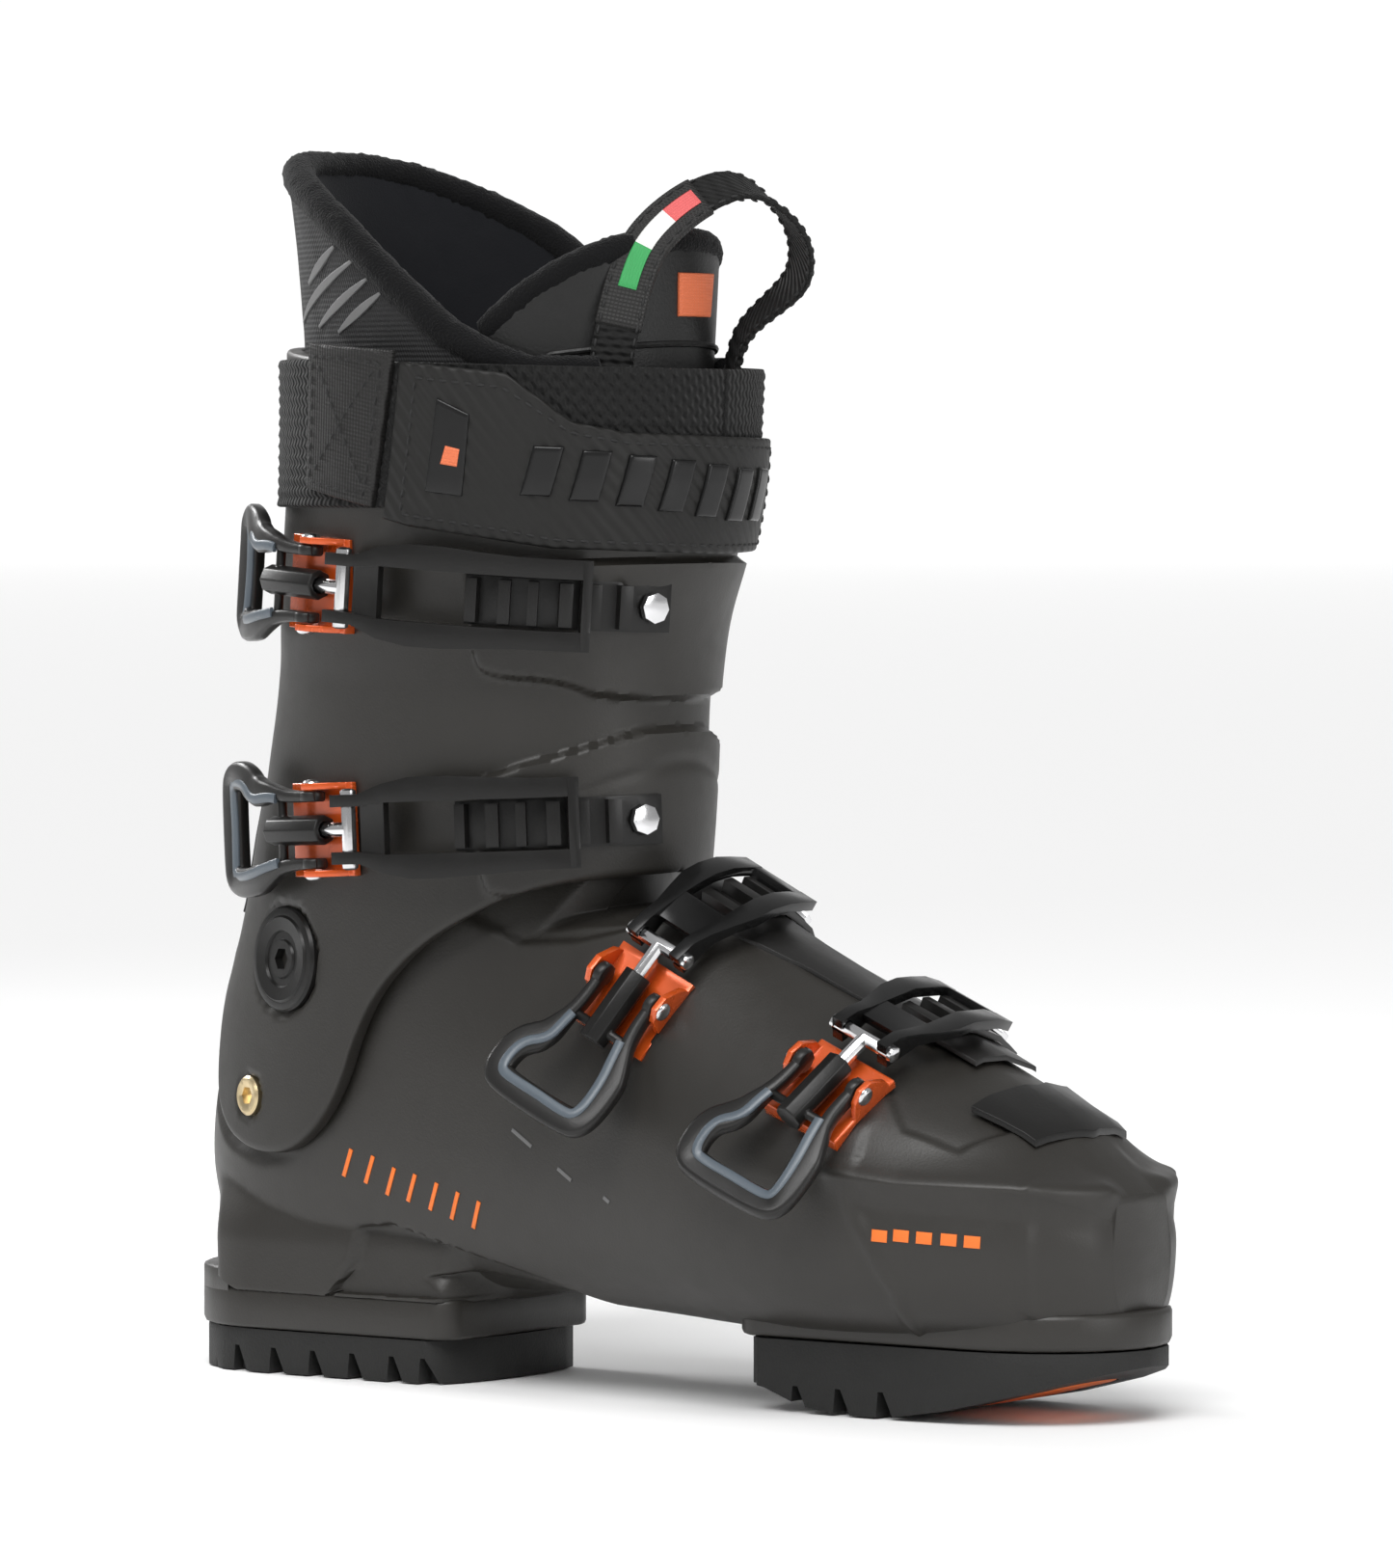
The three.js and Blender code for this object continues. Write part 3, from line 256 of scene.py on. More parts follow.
# ---- Meshes ----
def linked(name, data):
    obj = bpy.data.objects.new(name, data)
    bpy.context.scene.collection.objects.link(obj)
    return obj


def mesh_object(name, vertices, faces, body, material, cad=(), slot=None, uvs=None, sharp=40.0):
    mesh = bpy.data.meshes.new(name)
    vertices = np.asarray(vertices, float).reshape(-1, 3) * MM
    mesh.from_pydata(vertices.tolist(), [], [tuple(int(i) for i in f) for f in faces])
    bm = bmesh.new()
    bm.from_mesh(mesh)
    if bm.calc_volume(signed=True) < 0:
        bmesh.ops.reverse_faces(bm, faces=bm.faces)
    bm.to_mesh(mesh)
    bm.free()
    if uvs is not None:
        layer = mesh.uv_layers.new(name="UVMap")
        loops = np.empty(len(mesh.loops), int)
        mesh.loops.foreach_get("vertex_index", loops)
        layer.data.foreach_set("uv", np.asarray(uvs, float)[loops].ravel())
    mesh.validate()
    mesh.shade_smooth()
    mesh.set_sharp_from_angle(angle=math.radians(sharp))
    obj = linked(name, mesh)
    mesh.materials.append(material)
    if body:
        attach(obj, body)
    if cad:
        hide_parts(*cad)
    return obj


def quads(rows, columns, start=0, wrap_columns=False, turned=False):
    index = start + np.arange(rows * columns).reshape(rows, columns)
    if wrap_columns:
        index = np.hstack([index, index[:, :1]])
    a, b, c, d = index[:-1, :-1], index[:-1, 1:], index[1:, 1:], index[1:, :-1]
    faces = np.stack([a, b, c, d], -1).reshape(-1, 4)
    return faces[:, ::-1] if turned else faces


def caps(rings, sides):
    """The two end faces of a stack of rings."""
    return [list(range(sides))[::-1], [(rings - 1) * sides + i for i in range(sides)]]


def slab(name, place, a, b, low, high, body, material, edge=1.0, wrap=False, both=False, **more):
    """A closed plate over a surface. place(a, b, h) gives its points; a and b are grids; low and high are its
    two heights. Its rim is rounded over the distance edge, on the outside or on both sides."""
    low = np.broadcast_to(np.asarray(low, float), a.shape)
    high = np.broadcast_to(np.asarray(high, float), a.shape)
    middle = place(a, b, (low + high) / 2)
    run = np.concatenate([np.zeros((a.shape[0], 1)), np.cumsum(
        np.linalg.norm(np.diff(middle, axis=1), axis=-1), 1)], 1)
    rise = np.concatenate([np.zeros((1, a.shape[1])), np.cumsum(
        np.linalg.norm(np.diff(middle, axis=0), axis=-1), 0)], 0)
    rim = np.minimum(rise, rise[-1:] - rise)
    if not wrap:
        rim = np.minimum(rim, np.minimum(run, run[:, -1:] - run))
    fall = rim_fall(rim, edge)
    top = place(a, b, high - fall)
    under = place(a, b, low + (fall if both else 0))
    rows, columns = a.shape
    count = rows * columns
    faces = [quads(rows, columns, wrap_columns=wrap), quads(rows, columns, count, wrap, True)]
    index = np.arange(count).reshape(rows, columns)
    borders = [index[0], index[-1][::-1]]
    if not wrap:
        borders += [index[:, -1], index[::-1, 0]]
    for border in borders:
        ring = np.append(border, border[0]) if wrap else border
        faces.append(np.stack([ring[:-1], ring[:-1] + count, ring[1:] + count, ring[1:]], -1))
    uv = np.stack([run, rise], -1).reshape(-1, 2)
    return mesh_object(
        name, np.concatenate([top.reshape(-1, 3), under.reshape(-1, 3)]), np.concatenate(faces), body,
        material, uvs=np.vstack([uv, uv]) * MM, **more,
    )


def spread(count, length, edge=1.0):
    """Shares from 0 to 1 with close lines near both ends, for a rim rounded over edge."""
    near = np.array([0, 0.08, 0.25, 0.55, 1.0]) * edge / length
    return np.concatenate([near, np.linspace(near[-1], 1 - near[-1], count)[1:-1], 1 - near[::-1]])


def patch(bottom, top, columns, rows, width, height, edge=1.0):
    """Grids of two parameters between a bottom line and a top line."""
    across = spread(columns, width, edge)
    up = spread(rows, height, edge)[:, None]
    low = resample(bottom, 400)
    high = resample(top, 400)
    at = np.linspace(0, 1, 400)
    a = (1 - up) * np.interp(across, at, low[:, 0]) + up * np.interp(across, at, high[:, 0])
    b = (1 - up) * np.interp(across, at, low[:, 1]) + up * np.interp(across, at, high[:, 1])
    return a, b


def tube(name, points, radius, body, material, sides=12, wobble=0.0, **more):
    """A tube along points, with round ends; wobble roughens it."""
    p = np.asarray(points, float)
    tangent = unit(np.gradient(p, axis=0))
    side = np.cross(tangent, [0, 0, 1.0])
    weak = np.linalg.norm(side, axis=1) < 0.05
    side[weak] = np.cross(tangent[weak], [0, 1.0, 0])
    side = unit(side)
    up = np.cross(side, tangent)
    count = len(p)
    radius = np.broadcast_to(np.asarray(radius, float), (count,)).copy()
    radius[0] *= 0.35
    radius[-1] *= 0.35
    turn = np.linspace(0, 2 * np.pi, sides, endpoint=False)
    noise = np.random.default_rng(7).normal(0, wobble, (count, sides)) if wobble else 0
    r = radius[:, None] * (1 + noise)
    ring = p[:, None] + side[:, None] * (r * np.cos(turn))[..., None]
    ring = ring + up[:, None] * (r * np.sin(turn))[..., None]
    faces = quads(count, sides, wrap_columns=True).tolist() + caps(count, sides)
    return mesh_object(name, ring.reshape(-1, 3), faces, body, material, **more)


def frame_matrix(origin, x, y, z):
    m = np.eye(4)
    m[:3, 0], m[:3, 1], m[:3, 2], m[:3, 3] = x, y, z, origin
    return m


def placed(points, matrix):
    points = np.asarray(points, float)
    return points @ matrix[:3, :3].T + matrix[:3, 3]


def prism(outline, low, high, bevel, matrix):
    """Rings of an outline extruded from low to high along z, with bevelled edges, as (vertices, faces)."""
    p = np.asarray(outline, float)
    if np.sum(p[:, 0] * np.roll(p[:, 1], -1) - np.roll(p[:, 0], -1) * p[:, 1]) < 0:
        p = p[::-1]
    ahead = unit(np.roll(p, -1, 0) - p)
    back = np.roll(ahead, 1, 0)
    normal = np.stack([-(ahead + back)[:, 1], (ahead + back)[:, 0]], 1)
    normal /= np.maximum(np.sum(normal * np.stack([-ahead[:, 1], ahead[:, 0]], 1), 1, keepdims=True), 0.3)
    rings = []
    for inset, z in [(bevel, low), (0.3 * bevel, low + 0.3 * bevel), (0, low + bevel), (0, high - bevel),
                     (0.3 * bevel, high - 0.3 * bevel), (bevel, high)]:
        rings.append(np.column_stack([p + normal * inset, np.full(len(p), z)]))
    count = len(p)
    faces = quads(len(rings), count, wrap_columns=True).tolist() + caps(len(rings), count)
    return placed(np.concatenate(rings), matrix), faces


def joined(parts):
    vertices, faces, start = [], [], 0
    for v, f in parts:
        vertices.append(np.asarray(v).reshape(-1, 3))
        faces += [[i + start for i in face] for face in (f.tolist() if hasattr(f, "tolist") else f)]
        start += len(vertices[-1])
    return np.concatenate(vertices), faces


def lathe(profile, matrix, sides=48, hexagon=None):
    """A turned piece about z: profile of (radius, height) from the middle out; hexagon gives the radii up to
    which the rings are six-sided, as a socket has."""
    turn = np.linspace(0, 2 * np.pi, sides, endpoint=False)
    flat = np.cos(np.pi / 6) / np.cos((turn + np.pi / 6) % (np.pi / 3) - np.pi / 6)
    rings = []
    for radius, height in profile:
        r = radius * (flat if hexagon and radius <= hexagon else np.ones(sides))
        rings.append(np.stack([r * np.cos(turn), r * np.sin(turn), np.full(sides, height)], -1))
    faces = quads(len(rings), sides, wrap_columns=True).tolist() + caps(len(rings), sides)
    return placed(np.concatenate(rings), matrix), faces


def basis(origin, z, x=(1, 0, 0)):
    z = np.asarray(z, float) / np.linalg.norm(z)
    x = np.asarray(x, float) - np.dot(x, z) * z
    x /= np.linalg.norm(x)
    return frame_matrix(np.asarray(origin, float), x, np.cross(z, x), z)


def stitches(name, lines, body, material, length=2.4, gap=1.3, radius=0.38, **more):
    """Short thread stitches along lines; each line is (points, outward normals)."""
    parts = []
    for points, normals in lines:
        p = np.asarray(points, float)
        run = run_of(p)
        count = max(1, int(run[-1] // (length + gap)))
        for i in range(count):
            s = (i + 0.5) * run[-1] / count
            ends = [np.array([np.interp(s + d, run, p[:, k]) for k in range(3)])
                    for d in (-length / 2, length / 2)]
            out = np.array([np.interp(s, run, np.asarray(normals)[:, k]) for k in range(3)])
            along = ends[1] - ends[0]
            along /= np.linalg.norm(along)
            m = basis((ends[0] + ends[1]) / 2, out, along)
            turn = np.linspace(0, 2 * np.pi, 6, endpoint=False)
            rings = []
            for share, size in [(-1, 0.3), (-0.7, 0.9), (0, 1.1), (0.7, 0.9), (1, 0.3)]:
                rings.append(np.stack([
                    np.full(6, share * length / 2), radius * size * np.cos(turn),
                    radius * size * np.sin(turn) + radius * 0.4 * (1 - share * share)], -1))
            faces = quads(5, 6, wrap_columns=True).tolist() + caps(5, 6)
            parts.append((placed(np.concatenate(rings), m), faces))
    vertices, faces = joined(parts)
    return mesh_object(name, vertices, faces, body, material, **more)


# ---- Materials ----
WAVES = {"twill": ("DIAGONAL", "X"), "weave": ("X", "Y"), "rib": ("Y",), "slant": ("DIAGONAL",), None: ()}
WAVE_PITCH = 0.314  # the pitch of a wave texture at scale 1, in metres


def material(name, color, roughness, metallic=0.0, coat=0.0, grain=900.0, depth=0.05, mottle=0.12,
             pattern=None, pitch=0.0015, relief=0.5, sheen=0.0, specular=0.5):
    """A finish with colour mottle, roughness variation and fine grain. A pattern adds woven or ribbed relief
    from the UVs, which are in metres."""
    made = bpy.data.materials.new(name)
    made.use_nodes = True
    nodes, links = made.node_tree.nodes, made.node_tree.links
    shader = nodes["Principled BSDF"]
    shader.inputs["Metallic"].default_value = metallic
    shader.inputs["Coat Weight"].default_value = coat
    shader.inputs["Coat Roughness"].default_value = 0.12
    shader.inputs["Sheen Weight"].default_value = sheen
    shader.inputs["Specular IOR Level"].default_value = specular
    place = nodes.new("ShaderNodeTexCoord")

    def noise(scale, detail):
        node = nodes.new("ShaderNodeTexNoise")
        node.inputs["Scale"].default_value = scale
        node.inputs["Detail"].default_value = detail
        links.new(place.outputs["Object"], node.inputs["Vector"])
        return node

    broad = noise(38.0, 3.0)
    tint = nodes.new("ShaderNodeMix")
    tint.data_type = "RGBA"
    tint.inputs["A"].default_value = (*(c * (1 - mottle) for c in color), 1)
    tint.inputs["B"].default_value = (*(c * (1 + mottle) for c in color), 1)
    links.new(broad.outputs["Fac"], tint.inputs["Factor"])
    links.new(tint.outputs["Result"], shader.inputs["Base Color"])
    gloss = nodes.new("ShaderNodeMapRange")
    gloss.inputs["To Min"].default_value = max(roughness - 0.07, 0.03)
    gloss.inputs["To Max"].default_value = min(roughness + 0.07, 1.0)
    links.new(noise(160.0, 4.0).outputs["Fac"], gloss.inputs["Value"])
    links.new(gloss.outputs["Result"], shader.inputs["Roughness"])
    bump = nodes.new("ShaderNodeBump")
    bump.inputs["Strength"].default_value = depth
    bump.inputs["Distance"].default_value = 0.0006
    links.new(noise(grain, 2.0).outputs["Fac"], bump.inputs["Height"])
    last = bump
    for direction in WAVES[pattern]:
        wave = nodes.new("ShaderNodeTexWave")
        wave.bands_direction = direction
        wave.inputs["Scale"].default_value = WAVE_PITCH / pitch
        wave.inputs["Distortion"].default_value = 0.4
        links.new(place.outputs["UV"], wave.inputs["Vector"])
        woven = nodes.new("ShaderNodeBump")
        woven.inputs["Strength"].default_value = relief
        woven.inputs["Distance"].default_value = 0.0005
        links.new(wave.outputs["Fac"], woven.inputs["Height"])
        links.new(last.outputs["Normal"], woven.inputs["Normal"])
        last = woven
    links.new(last.outputs["Normal"], shader.inputs["Normal"])
    return made


SHELL = material("shell_plastic", (0.0195, 0.0178, 0.0152), 0.44, grain=1500, depth=0.10, mottle=0.06,
                 specular=0.5)
CUFF_PLASTIC = material("cuff_plastic", (0.0165, 0.0150, 0.0125), 0.46, grain=1500, depth=0.10,
                        mottle=0.06, specular=0.48)
LEVER = material("lever_plastic", (0.012, 0.0115, 0.011), 0.36, grain=1800, depth=0.06, specular=0.4)
INLAY = material("blue_grey_inlay", (0.085, 0.105, 0.125), 0.33, grain=1800, depth=0.05)
ORANGE = material("orange_lacquer", (0.66, 0.095, 0.012), 0.26, metallic=0.35, coat=0.6, grain=600,
                  depth=0.03)
STEEL = material("chrome_steel", (0.72, 0.72, 0.73), 0.16, metallic=1.0, grain=700, depth=0.02, mottle=0.04)
BRASS = material("plated_brass", (0.62, 0.50, 0.30), 0.32, metallic=1.0, grain=900, depth=0.05)
GLOSS = material("gloss_black", (0.006, 0.006, 0.006), 0.24, grain=700, depth=0.02, specular=0.35)
SATIN = material("satin_black", (0.0075, 0.0072, 0.0068), 0.34, grain=1200, depth=0.05, specular=0.32)
RUBBER = material("sole_rubber", (0.011, 0.011, 0.0105), 0.62, grain=1300, depth=0.25, specular=0.4)
ORANGE_RUBBER = material("orange_rubber", (0.80, 0.17, 0.02), 0.5, grain=1200, depth=0.15)
SOFT = material("soft_flap", (0.010, 0.0095, 0.009), 0.40, grain=900, depth=0.08, specular=0.45)
STRAP = material("embossed_strap", (0.010, 0.0097, 0.009), 0.52, pattern="slant", pitch=0.0024,
                 relief=0.55, specular=0.3)
PLAIN_PATCH = material("strap_patch", (0.012, 0.0115, 0.011), 0.55, pattern="weave", pitch=0.0011,
                       relief=0.3, specular=0.35)
WEBBING = material("webbing", (0.006, 0.006, 0.0058), 0.75, pattern="twill", pitch=0.0021, relief=0.8,
                   sheen=0.05, specular=0.25)
KNIT = material("liner_knit", (0.014, 0.014, 0.0145), 0.72, pattern="weave", pitch=0.0014, relief=0.4,
                sheen=0.05, specular=0.3)
INNER = material("liner_lining", (0.007, 0.0075, 0.0095), 0.88, grain=2200, depth=0.3, sheen=0.1,
                 specular=0.2)
PLUSH = material("edge_plush", (0.004, 0.004, 0.0044), 0.95, grain=1500, depth=0.9, sheen=0.1, specular=0.15)
# Pale grey: printed dashes on the shell, and painted highlights on the back of the liner.
PRINT_AND_HIGHLIGHT_GREY = material("grey_print_and_painted_highlight", (0.13, 0.13, 0.13), 0.45, grain=1400, depth=0.08)
LEATHER = material("tongue_leather", (0.010, 0.010, 0.0098), 0.45, grain=1100, depth=0.3, specular=0.35)
THREAD = material("thread", (0.011, 0.011, 0.011), 0.7, grain=3000, depth=0.4)
FELT = material("footbed_felt", (0.09, 0.09, 0.09), 0.9, grain=2000, depth=0.7)
PATCH_ORANGE = material("orange_patch", (0.70, 0.16, 0.06), 0.5, pattern="weave", pitch=0.0008, relief=0.25)
FLAG = [
    material("woven_" + word, color, 0.6, pattern="rib", pitch=0.0008, relief=0.3)
    for word, color in (
        ("red", (0.62, 0.10, 0.10)), ("white", (0.72, 0.72, 0.70)), ("green", (0.03, 0.30, 0.08)))
]
FINISH = {
    "shell": SHELL, "inlay": INLAY, "orange_metal": ORANGE, "steel": STEEL, "brass": BRASS,
    "sole_rubber": RUBBER, "orange_rubber": ORANGE_RUBBER, "soft_plastic": SOFT, "strap_face": STRAP,
    "webbing": WEBBING, "liner_fabric": KNIT, "foam": FELT, "black_plastic": SATIN,
}
SLOTS = {part["node"]: part["material_slot"] for part in frame["record"]["subparts"]}

for node_name, node in frame["nodes"].items():
    node.data.materials.clear()
    node.data.materials.append(FINISH[SLOTS[node_name]])


def softened(node_name, bevel, made_of=None):
    """A copy of a CAD node with rounded edges, which stands for it."""
    source = frame["nodes"][node_name]
    bm = bmesh.new()
    bm.from_mesh(source.data)
    bmesh.ops.remove_doubles(bm, verts=bm.verts, dist=2e-5)
    bmesh.ops.dissolve_limit(bm, angle_limit=math.radians(2), verts=bm.verts, edges=bm.edges)
    edges = [e for e in bm.edges if e.is_manifold and e.calc_face_angle(0) > math.radians(32)]
    bmesh.ops.bevel(bm, geom=edges, offset=bevel * MM, segments=2, profile=0.6, affect="EDGES",
                    clamp_overlap=True)
    bmesh.ops.triangulate(bm, faces=[f for f in bm.faces if len(f.verts) > 4])
    mesh = bpy.data.meshes.new(node_name + "_skin")
    bm.to_mesh(mesh)
    bm.free()
    mesh.shade_smooth()
    mesh.set_sharp_from_angle(angle=math.radians(35))
    obj = linked(node_name + "_skin", mesh)
    mesh.materials.append(made_of or FINISH[SLOTS[node_name]])
    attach(obj, body_of(source)[0])
    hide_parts(node_name)
    return obj


# ---- Lower shell ----
CUFF_OUTLINE = [
    (-90, 119), (-36, 114), (-32, 99), (-31, 83), (-28, 73), (-21, 66), (-8, 62), (6, 63), (18, 71), (27, 83),
    (32, 96), (41, 110), (56, 122.5), (71, 131), (86, 138), (96, 140.5), (112, 143), (170, 152), (170, 300),
    (-90, 300),
]
ARCH_PANEL = [(25, 42.1), (36.5, 43.6), (64, 36.4), (88, 30.5), (107, 24), (139, 21), (139, 5), (10, 5),
              (12, 19), (22.5, 32)]
ARCH_SCOOP = [(48, 27), (60, 29), (80, 27), (96, 23), (90, 18), (60, 21)]
TOE_CREASE = [(198.6, 66.7), (217, 64.4), (249, 63.8), (262, 62)]
TOE_FOLD = [(201.6, 62), (210, 45), (215, 35), (215, 24)]
TOE_CORNER = [(249, 63.8), (248, 31)]
THROAT = [(61, 133), (63, 131), (81, 124), (99, 125), (116, 129), (116, 150), (61, 150)]
TOE_BRIDGE = [(198, -14), (202, -33), (214, -41), (230, -38), (236, -26), (240, -14), (240, 14), (236, 26),
              (230, 38), (214, 41), (202, 33), (196, 16)]


def turned_outline(outline, degrees):
    flat = np.array([(x, 0, z) for x, z in outline], float)
    return rotate_y(flat, degrees)[:, [0, 2]]


def under_cuff(points, depth):
    """Draws points that lie under the cuff, at any flex, in to the cuff's inner side."""
    x, y, z = points[..., 0], points[..., 1], points[..., 2]
    cover = np.max([
        inside(x, z, turned_outline(CUFF_OUTLINE, CUFF_TILT * share)) for share in (0, 0.33, 0.66, 1)], axis=0)
    result = points.copy()
    for share in (0, 0.5, 1):
        local = rotate_y(result, -CUFF_TILT * share)
        lx, ly, lz = local[..., 0], local[..., 1], local[..., 2]
        rows = leg_rows(lz)
        front, back, half, widest = rows[..., 0], rows[..., 2], rows[..., 4], rows[..., 5]
        centre = back + widest * (front - back)
        reach = np.where(lx > centre, front - centre, centre - back) + depth
        size = (np.abs((lx - centre) / reach) ** LEG_SQUARE + np.abs(ly / (half + depth)) ** LEG_SQUARE)
        size = np.maximum(size ** (1 / LEG_SQUARE), 1.0)
        local[..., 0] = centre + (lx - centre) / size
        local[..., 1] = ly / size
        pulled = rotate_y(local, CUFF_TILT * share)
        weight = step(cover, -4.5, -0.8)[..., None]
        result = result * (1 - weight) + pulled * weight
    return result


def shell_relief(points):
    x, y, z = points[..., 0], np.abs(points[..., 1]), points[..., 2]
    low = z < 90
    depth = -2.6 * step(inside(x, z, ARCH_PANEL), -0.8, 1.0) * low
    depth -= 3.5 * step(inside(x, z, ARCH_SCOOP), -1.5, 2.5) * low
    crease = line_distance(x, z, TOE_CREASE)
    depth += 1.9 * np.exp(-((crease / 2.6) ** 2)) * step(y, 6, 14)
    depth -= 0.9 * np.exp(-(((crease - 7.5) / 4.5) ** 2)) * step(y, 6, 14) * (x > 205)
    depth += 0.9 * np.exp(-((line_distance(x, z, TOE_FOLD) / 1.6) ** 2)) * step(y, 6, 14)
    depth += 0.8 * np.exp(-((line_distance(x, z, TOE_CORNER) / 1.8) ** 2)) * step(y, 6, 14)
    depth -= 1.4 * step(inside(x, z, THROAT), -1.2, 1.2)
    depth -= 1.2 * step(inside(x, points[..., 1], TOE_BRIDGE), -0.6, 1.0) * (z > 72)
    return depth


turns = np.linspace(0, 2 * np.pi, 261)[:-1]
place_top = np.empty(len(turns))
for i, turn in enumerate(turns):
    low, high = 9.0, 22.0
    for _ in range(40):
        middle = (low + high) / 2
        if foot_at(middle, turn)[2] < SHELL_TOP:
            low = middle
        else:
            high = middle
    place_top[i] = low
shares = np.linspace(0, 1, 300)[:, None]
places = shares * place_top[None, :]
turn_grid = np.broadcast_to(turns, places.shape)
flat = foot_at(places, turn_grid)
relief = shell_relief(flat)
outer = foot_at(places, turn_grid, relief)
# The shell's sides stand flush with the heel lug.
along, side, rise = np.moveaxis(outer, -1, 0)
flush = step(along, -38, -26) * (1 - step(along, 52, 62)) * step(rise, 20.5, 23) * (np.abs(side) > 10)
behind = np.clip(HEEL_BACK + HEEL_ROUND - along, 0, HEEL_ROUND)
round_rear = np.sqrt(np.clip(HEEL_ROUND**2 - behind**2, 0, None)) + 0.9
wall = np.minimum(34.9, round_rear) - 7.0 * step(rise, 36, 62) + np.where(rise > 24, relief, 0)
outer[..., 1] = np.where(np.abs(side) < wall, side + flush * (np.sign(side) * wall - side), side)
outer = under_cuff(outer, -CUFF_WALL - CUFF_CLEARANCE)
inner = foot_at(places, turn_grid, -SHELL_WALL)
inner = under_cuff(inner, -CUFF_WALL - CUFF_CLEARANCE - SHELL_WALL)
inner = inner[4:]  # the toe is solid ahead of the fifth ring
rows, columns = outer.shape[:2]
vertices = np.concatenate([outer.reshape(-1, 3), inner.reshape(-1, 3)])
faces = [quads(rows, columns, wrap_columns=True),
         quads(inner.shape[0], columns, rows * columns, wrap_columns=True, turned=True)]
last = (rows - 1) * columns + np.append(np.arange(columns), 0)
last_in = rows * columns + (inner.shape[0] - 1) * columns + np.append(np.arange(columns), 0)
faces.append(np.stack([last[:-1], last[1:], last_in[1:], last_in[:-1]], -1))
faces = [face for group in faces for face in group.tolist()]
faces.append(list(range(columns))[::-1])
faces.append([rows * columns + i for i in range(columns)])
mesh_object("shell_skin", vertices, faces, BODY, SHELL, cad=("lower_shell",), slot="shell", sharp=55)


def pad_outline(rear, tip, rear_round, tip_round, width, count=14):
    """A lug seen from below: straight sides with an arc at each end."""
    half = width / 2
    points = []
    for centre, radius, start in ((tip - tip_round, tip_round, -np.pi / 2),
                                  (rear + rear_round, rear_round, np.pi / 2)):
        for a in np.linspace(start, start + np.pi, count):
            y = max(half - radius, 0) * np.sign(np.sin(a)) + min(radius, half) * np.sin(a)
            points.append((centre + radius * np.cos(a), y))
    return points


lug_outline = pad_outline(HEEL_BACK, HEEL_FRONT, HEEL_ROUND, 8, PAD_WIDTH)
heel_block = prism(lug_outline, HEEL_PAD_HEIGHT + 0.3, HEEL_LEDGE - 5.5, 1.2, np.eye(4))
rear_outline = [(x, y) for x, y in lug_outline if x < -17]
rear_lip = prism(rear_outline, HEEL_LEDGE - 8, HEEL_LEDGE, 1.2, np.eye(4))
mesh_object("heel_lug", *joined([heel_block, rear_lip]), BODY, SHELL, slot="shell", sharp=50)
toe_block = prism(pad_outline(TOE_LUG_REAR, TOE_TIP, 8, 38, PAD_WIDTH), TOE_LUG_BOTTOM, TOE_LEDGE - 0.1, 1.6,
                  np.eye(4))
mesh_object("toe_lug", *toe_block, BODY, SHELL, slot="shell", sharp=50)

# ---- Cuff ----
lower_edge = smooth(CUFF_OUTLINE[1:17], 2, closed=False)
edge_turn = leg_turn(lower_edge[:, 0], lower_edge[:, 1])
order = np.argsort(edge_turn)
cuff_turns = np.linspace(0, 2 * np.pi, 421)[:-1]
fold = np.where(cuff_turns > np.pi, cuff_turns, 2 * np.pi - cuff_turns)
bottom_z = np.interp(fold, edge_turn[order], lower_edge[order, 1])
top_x = leg_at(cuff_turns, np.full(len(cuff_turns), 284.0))[:, 0]
top_z = np.interp(top_x, [-12, 0, 60, 100, 125], [288.0, 287, 281, 279.5, 279])
cuff_shares = spread(130, 150, CUFF_EDGE)[:, None]
cuff_z = bottom_z + cuff_shares * (top_z - bottom_z)
cuff_t = np.broadcast_to(cuff_turns, cuff_z.shape)
UPPER_FLAP = [(79, 228), (76, 224), (76, 201), (80, 197), (96, 196), (104, 190), (170, 189), (170, 229)]
LOWER_FLAP = [(79, 136), (75, 140), (75, 166), (79, 170), (100, 177), (112, 184), (170, 188), (170, 136)]


def cuff_relief(points):
    x, y, z = points[..., 0], points[..., 1], points[..., 2]
    outer_side = y < 30
    lift = FLAP_STEP * step(inside(x, z, smooth(UPPER_FLAP)), -1.0, 0.8)
    lift = np.maximum(lift, FLAP_STEP * step(inside(x, z, smooth(LOWER_FLAP)), -1.0, 0.8))
    contour = line_distance(x, z, [(99, 165.5), (108, 171), (112.7, 176)])
    lift = lift * outer_side - 0.5 * np.exp(-((contour / 1.2) ** 2)) * outer_side
    # Wells for the pivot disc and the cant screw.
    lift -= 1.5 * step(15.4 - np.hypot((x - PIVOT[0]) * 1.06, z - PIVOT[2]), -0.3, 0.3)
    lift -= 1.6 * step(6.2 - np.hypot((x - CANT_X) * 1.06, z - CANT_Z), -0.3, 0.3)
    return lift


cuff_flat = leg_at(cuff_t, cuff_z)
cuff_rim = np.minimum(cuff_shares, 1 - cuff_shares) * (top_z - bottom_z)
cuff_fall = rim_fall(cuff_rim, CUFF_EDGE)
cuff_outer = leg_at(cuff_t, cuff_z, cuff_relief(cuff_flat) - cuff_fall)
cuff_inner = leg_at(cuff_t, cuff_z, -CUFF_WALL + cuff_fall * 0.4)
rows, columns = cuff_outer.shape[:2]
count = rows * columns
ring = np.append(np.arange(columns), 0)
top_ring = (rows - 1) * columns + ring
faces = np.concatenate([
    quads(rows, columns, wrap_columns=True),
    quads(rows, columns, count, wrap_columns=True, turned=True),
    np.stack([ring[1:], ring[:-1], ring[:-1] + count, ring[1:] + count], -1),
    np.stack([top_ring[:-1], top_ring[1:], top_ring[1:] + count, top_ring[:-1] + count], -1),
])
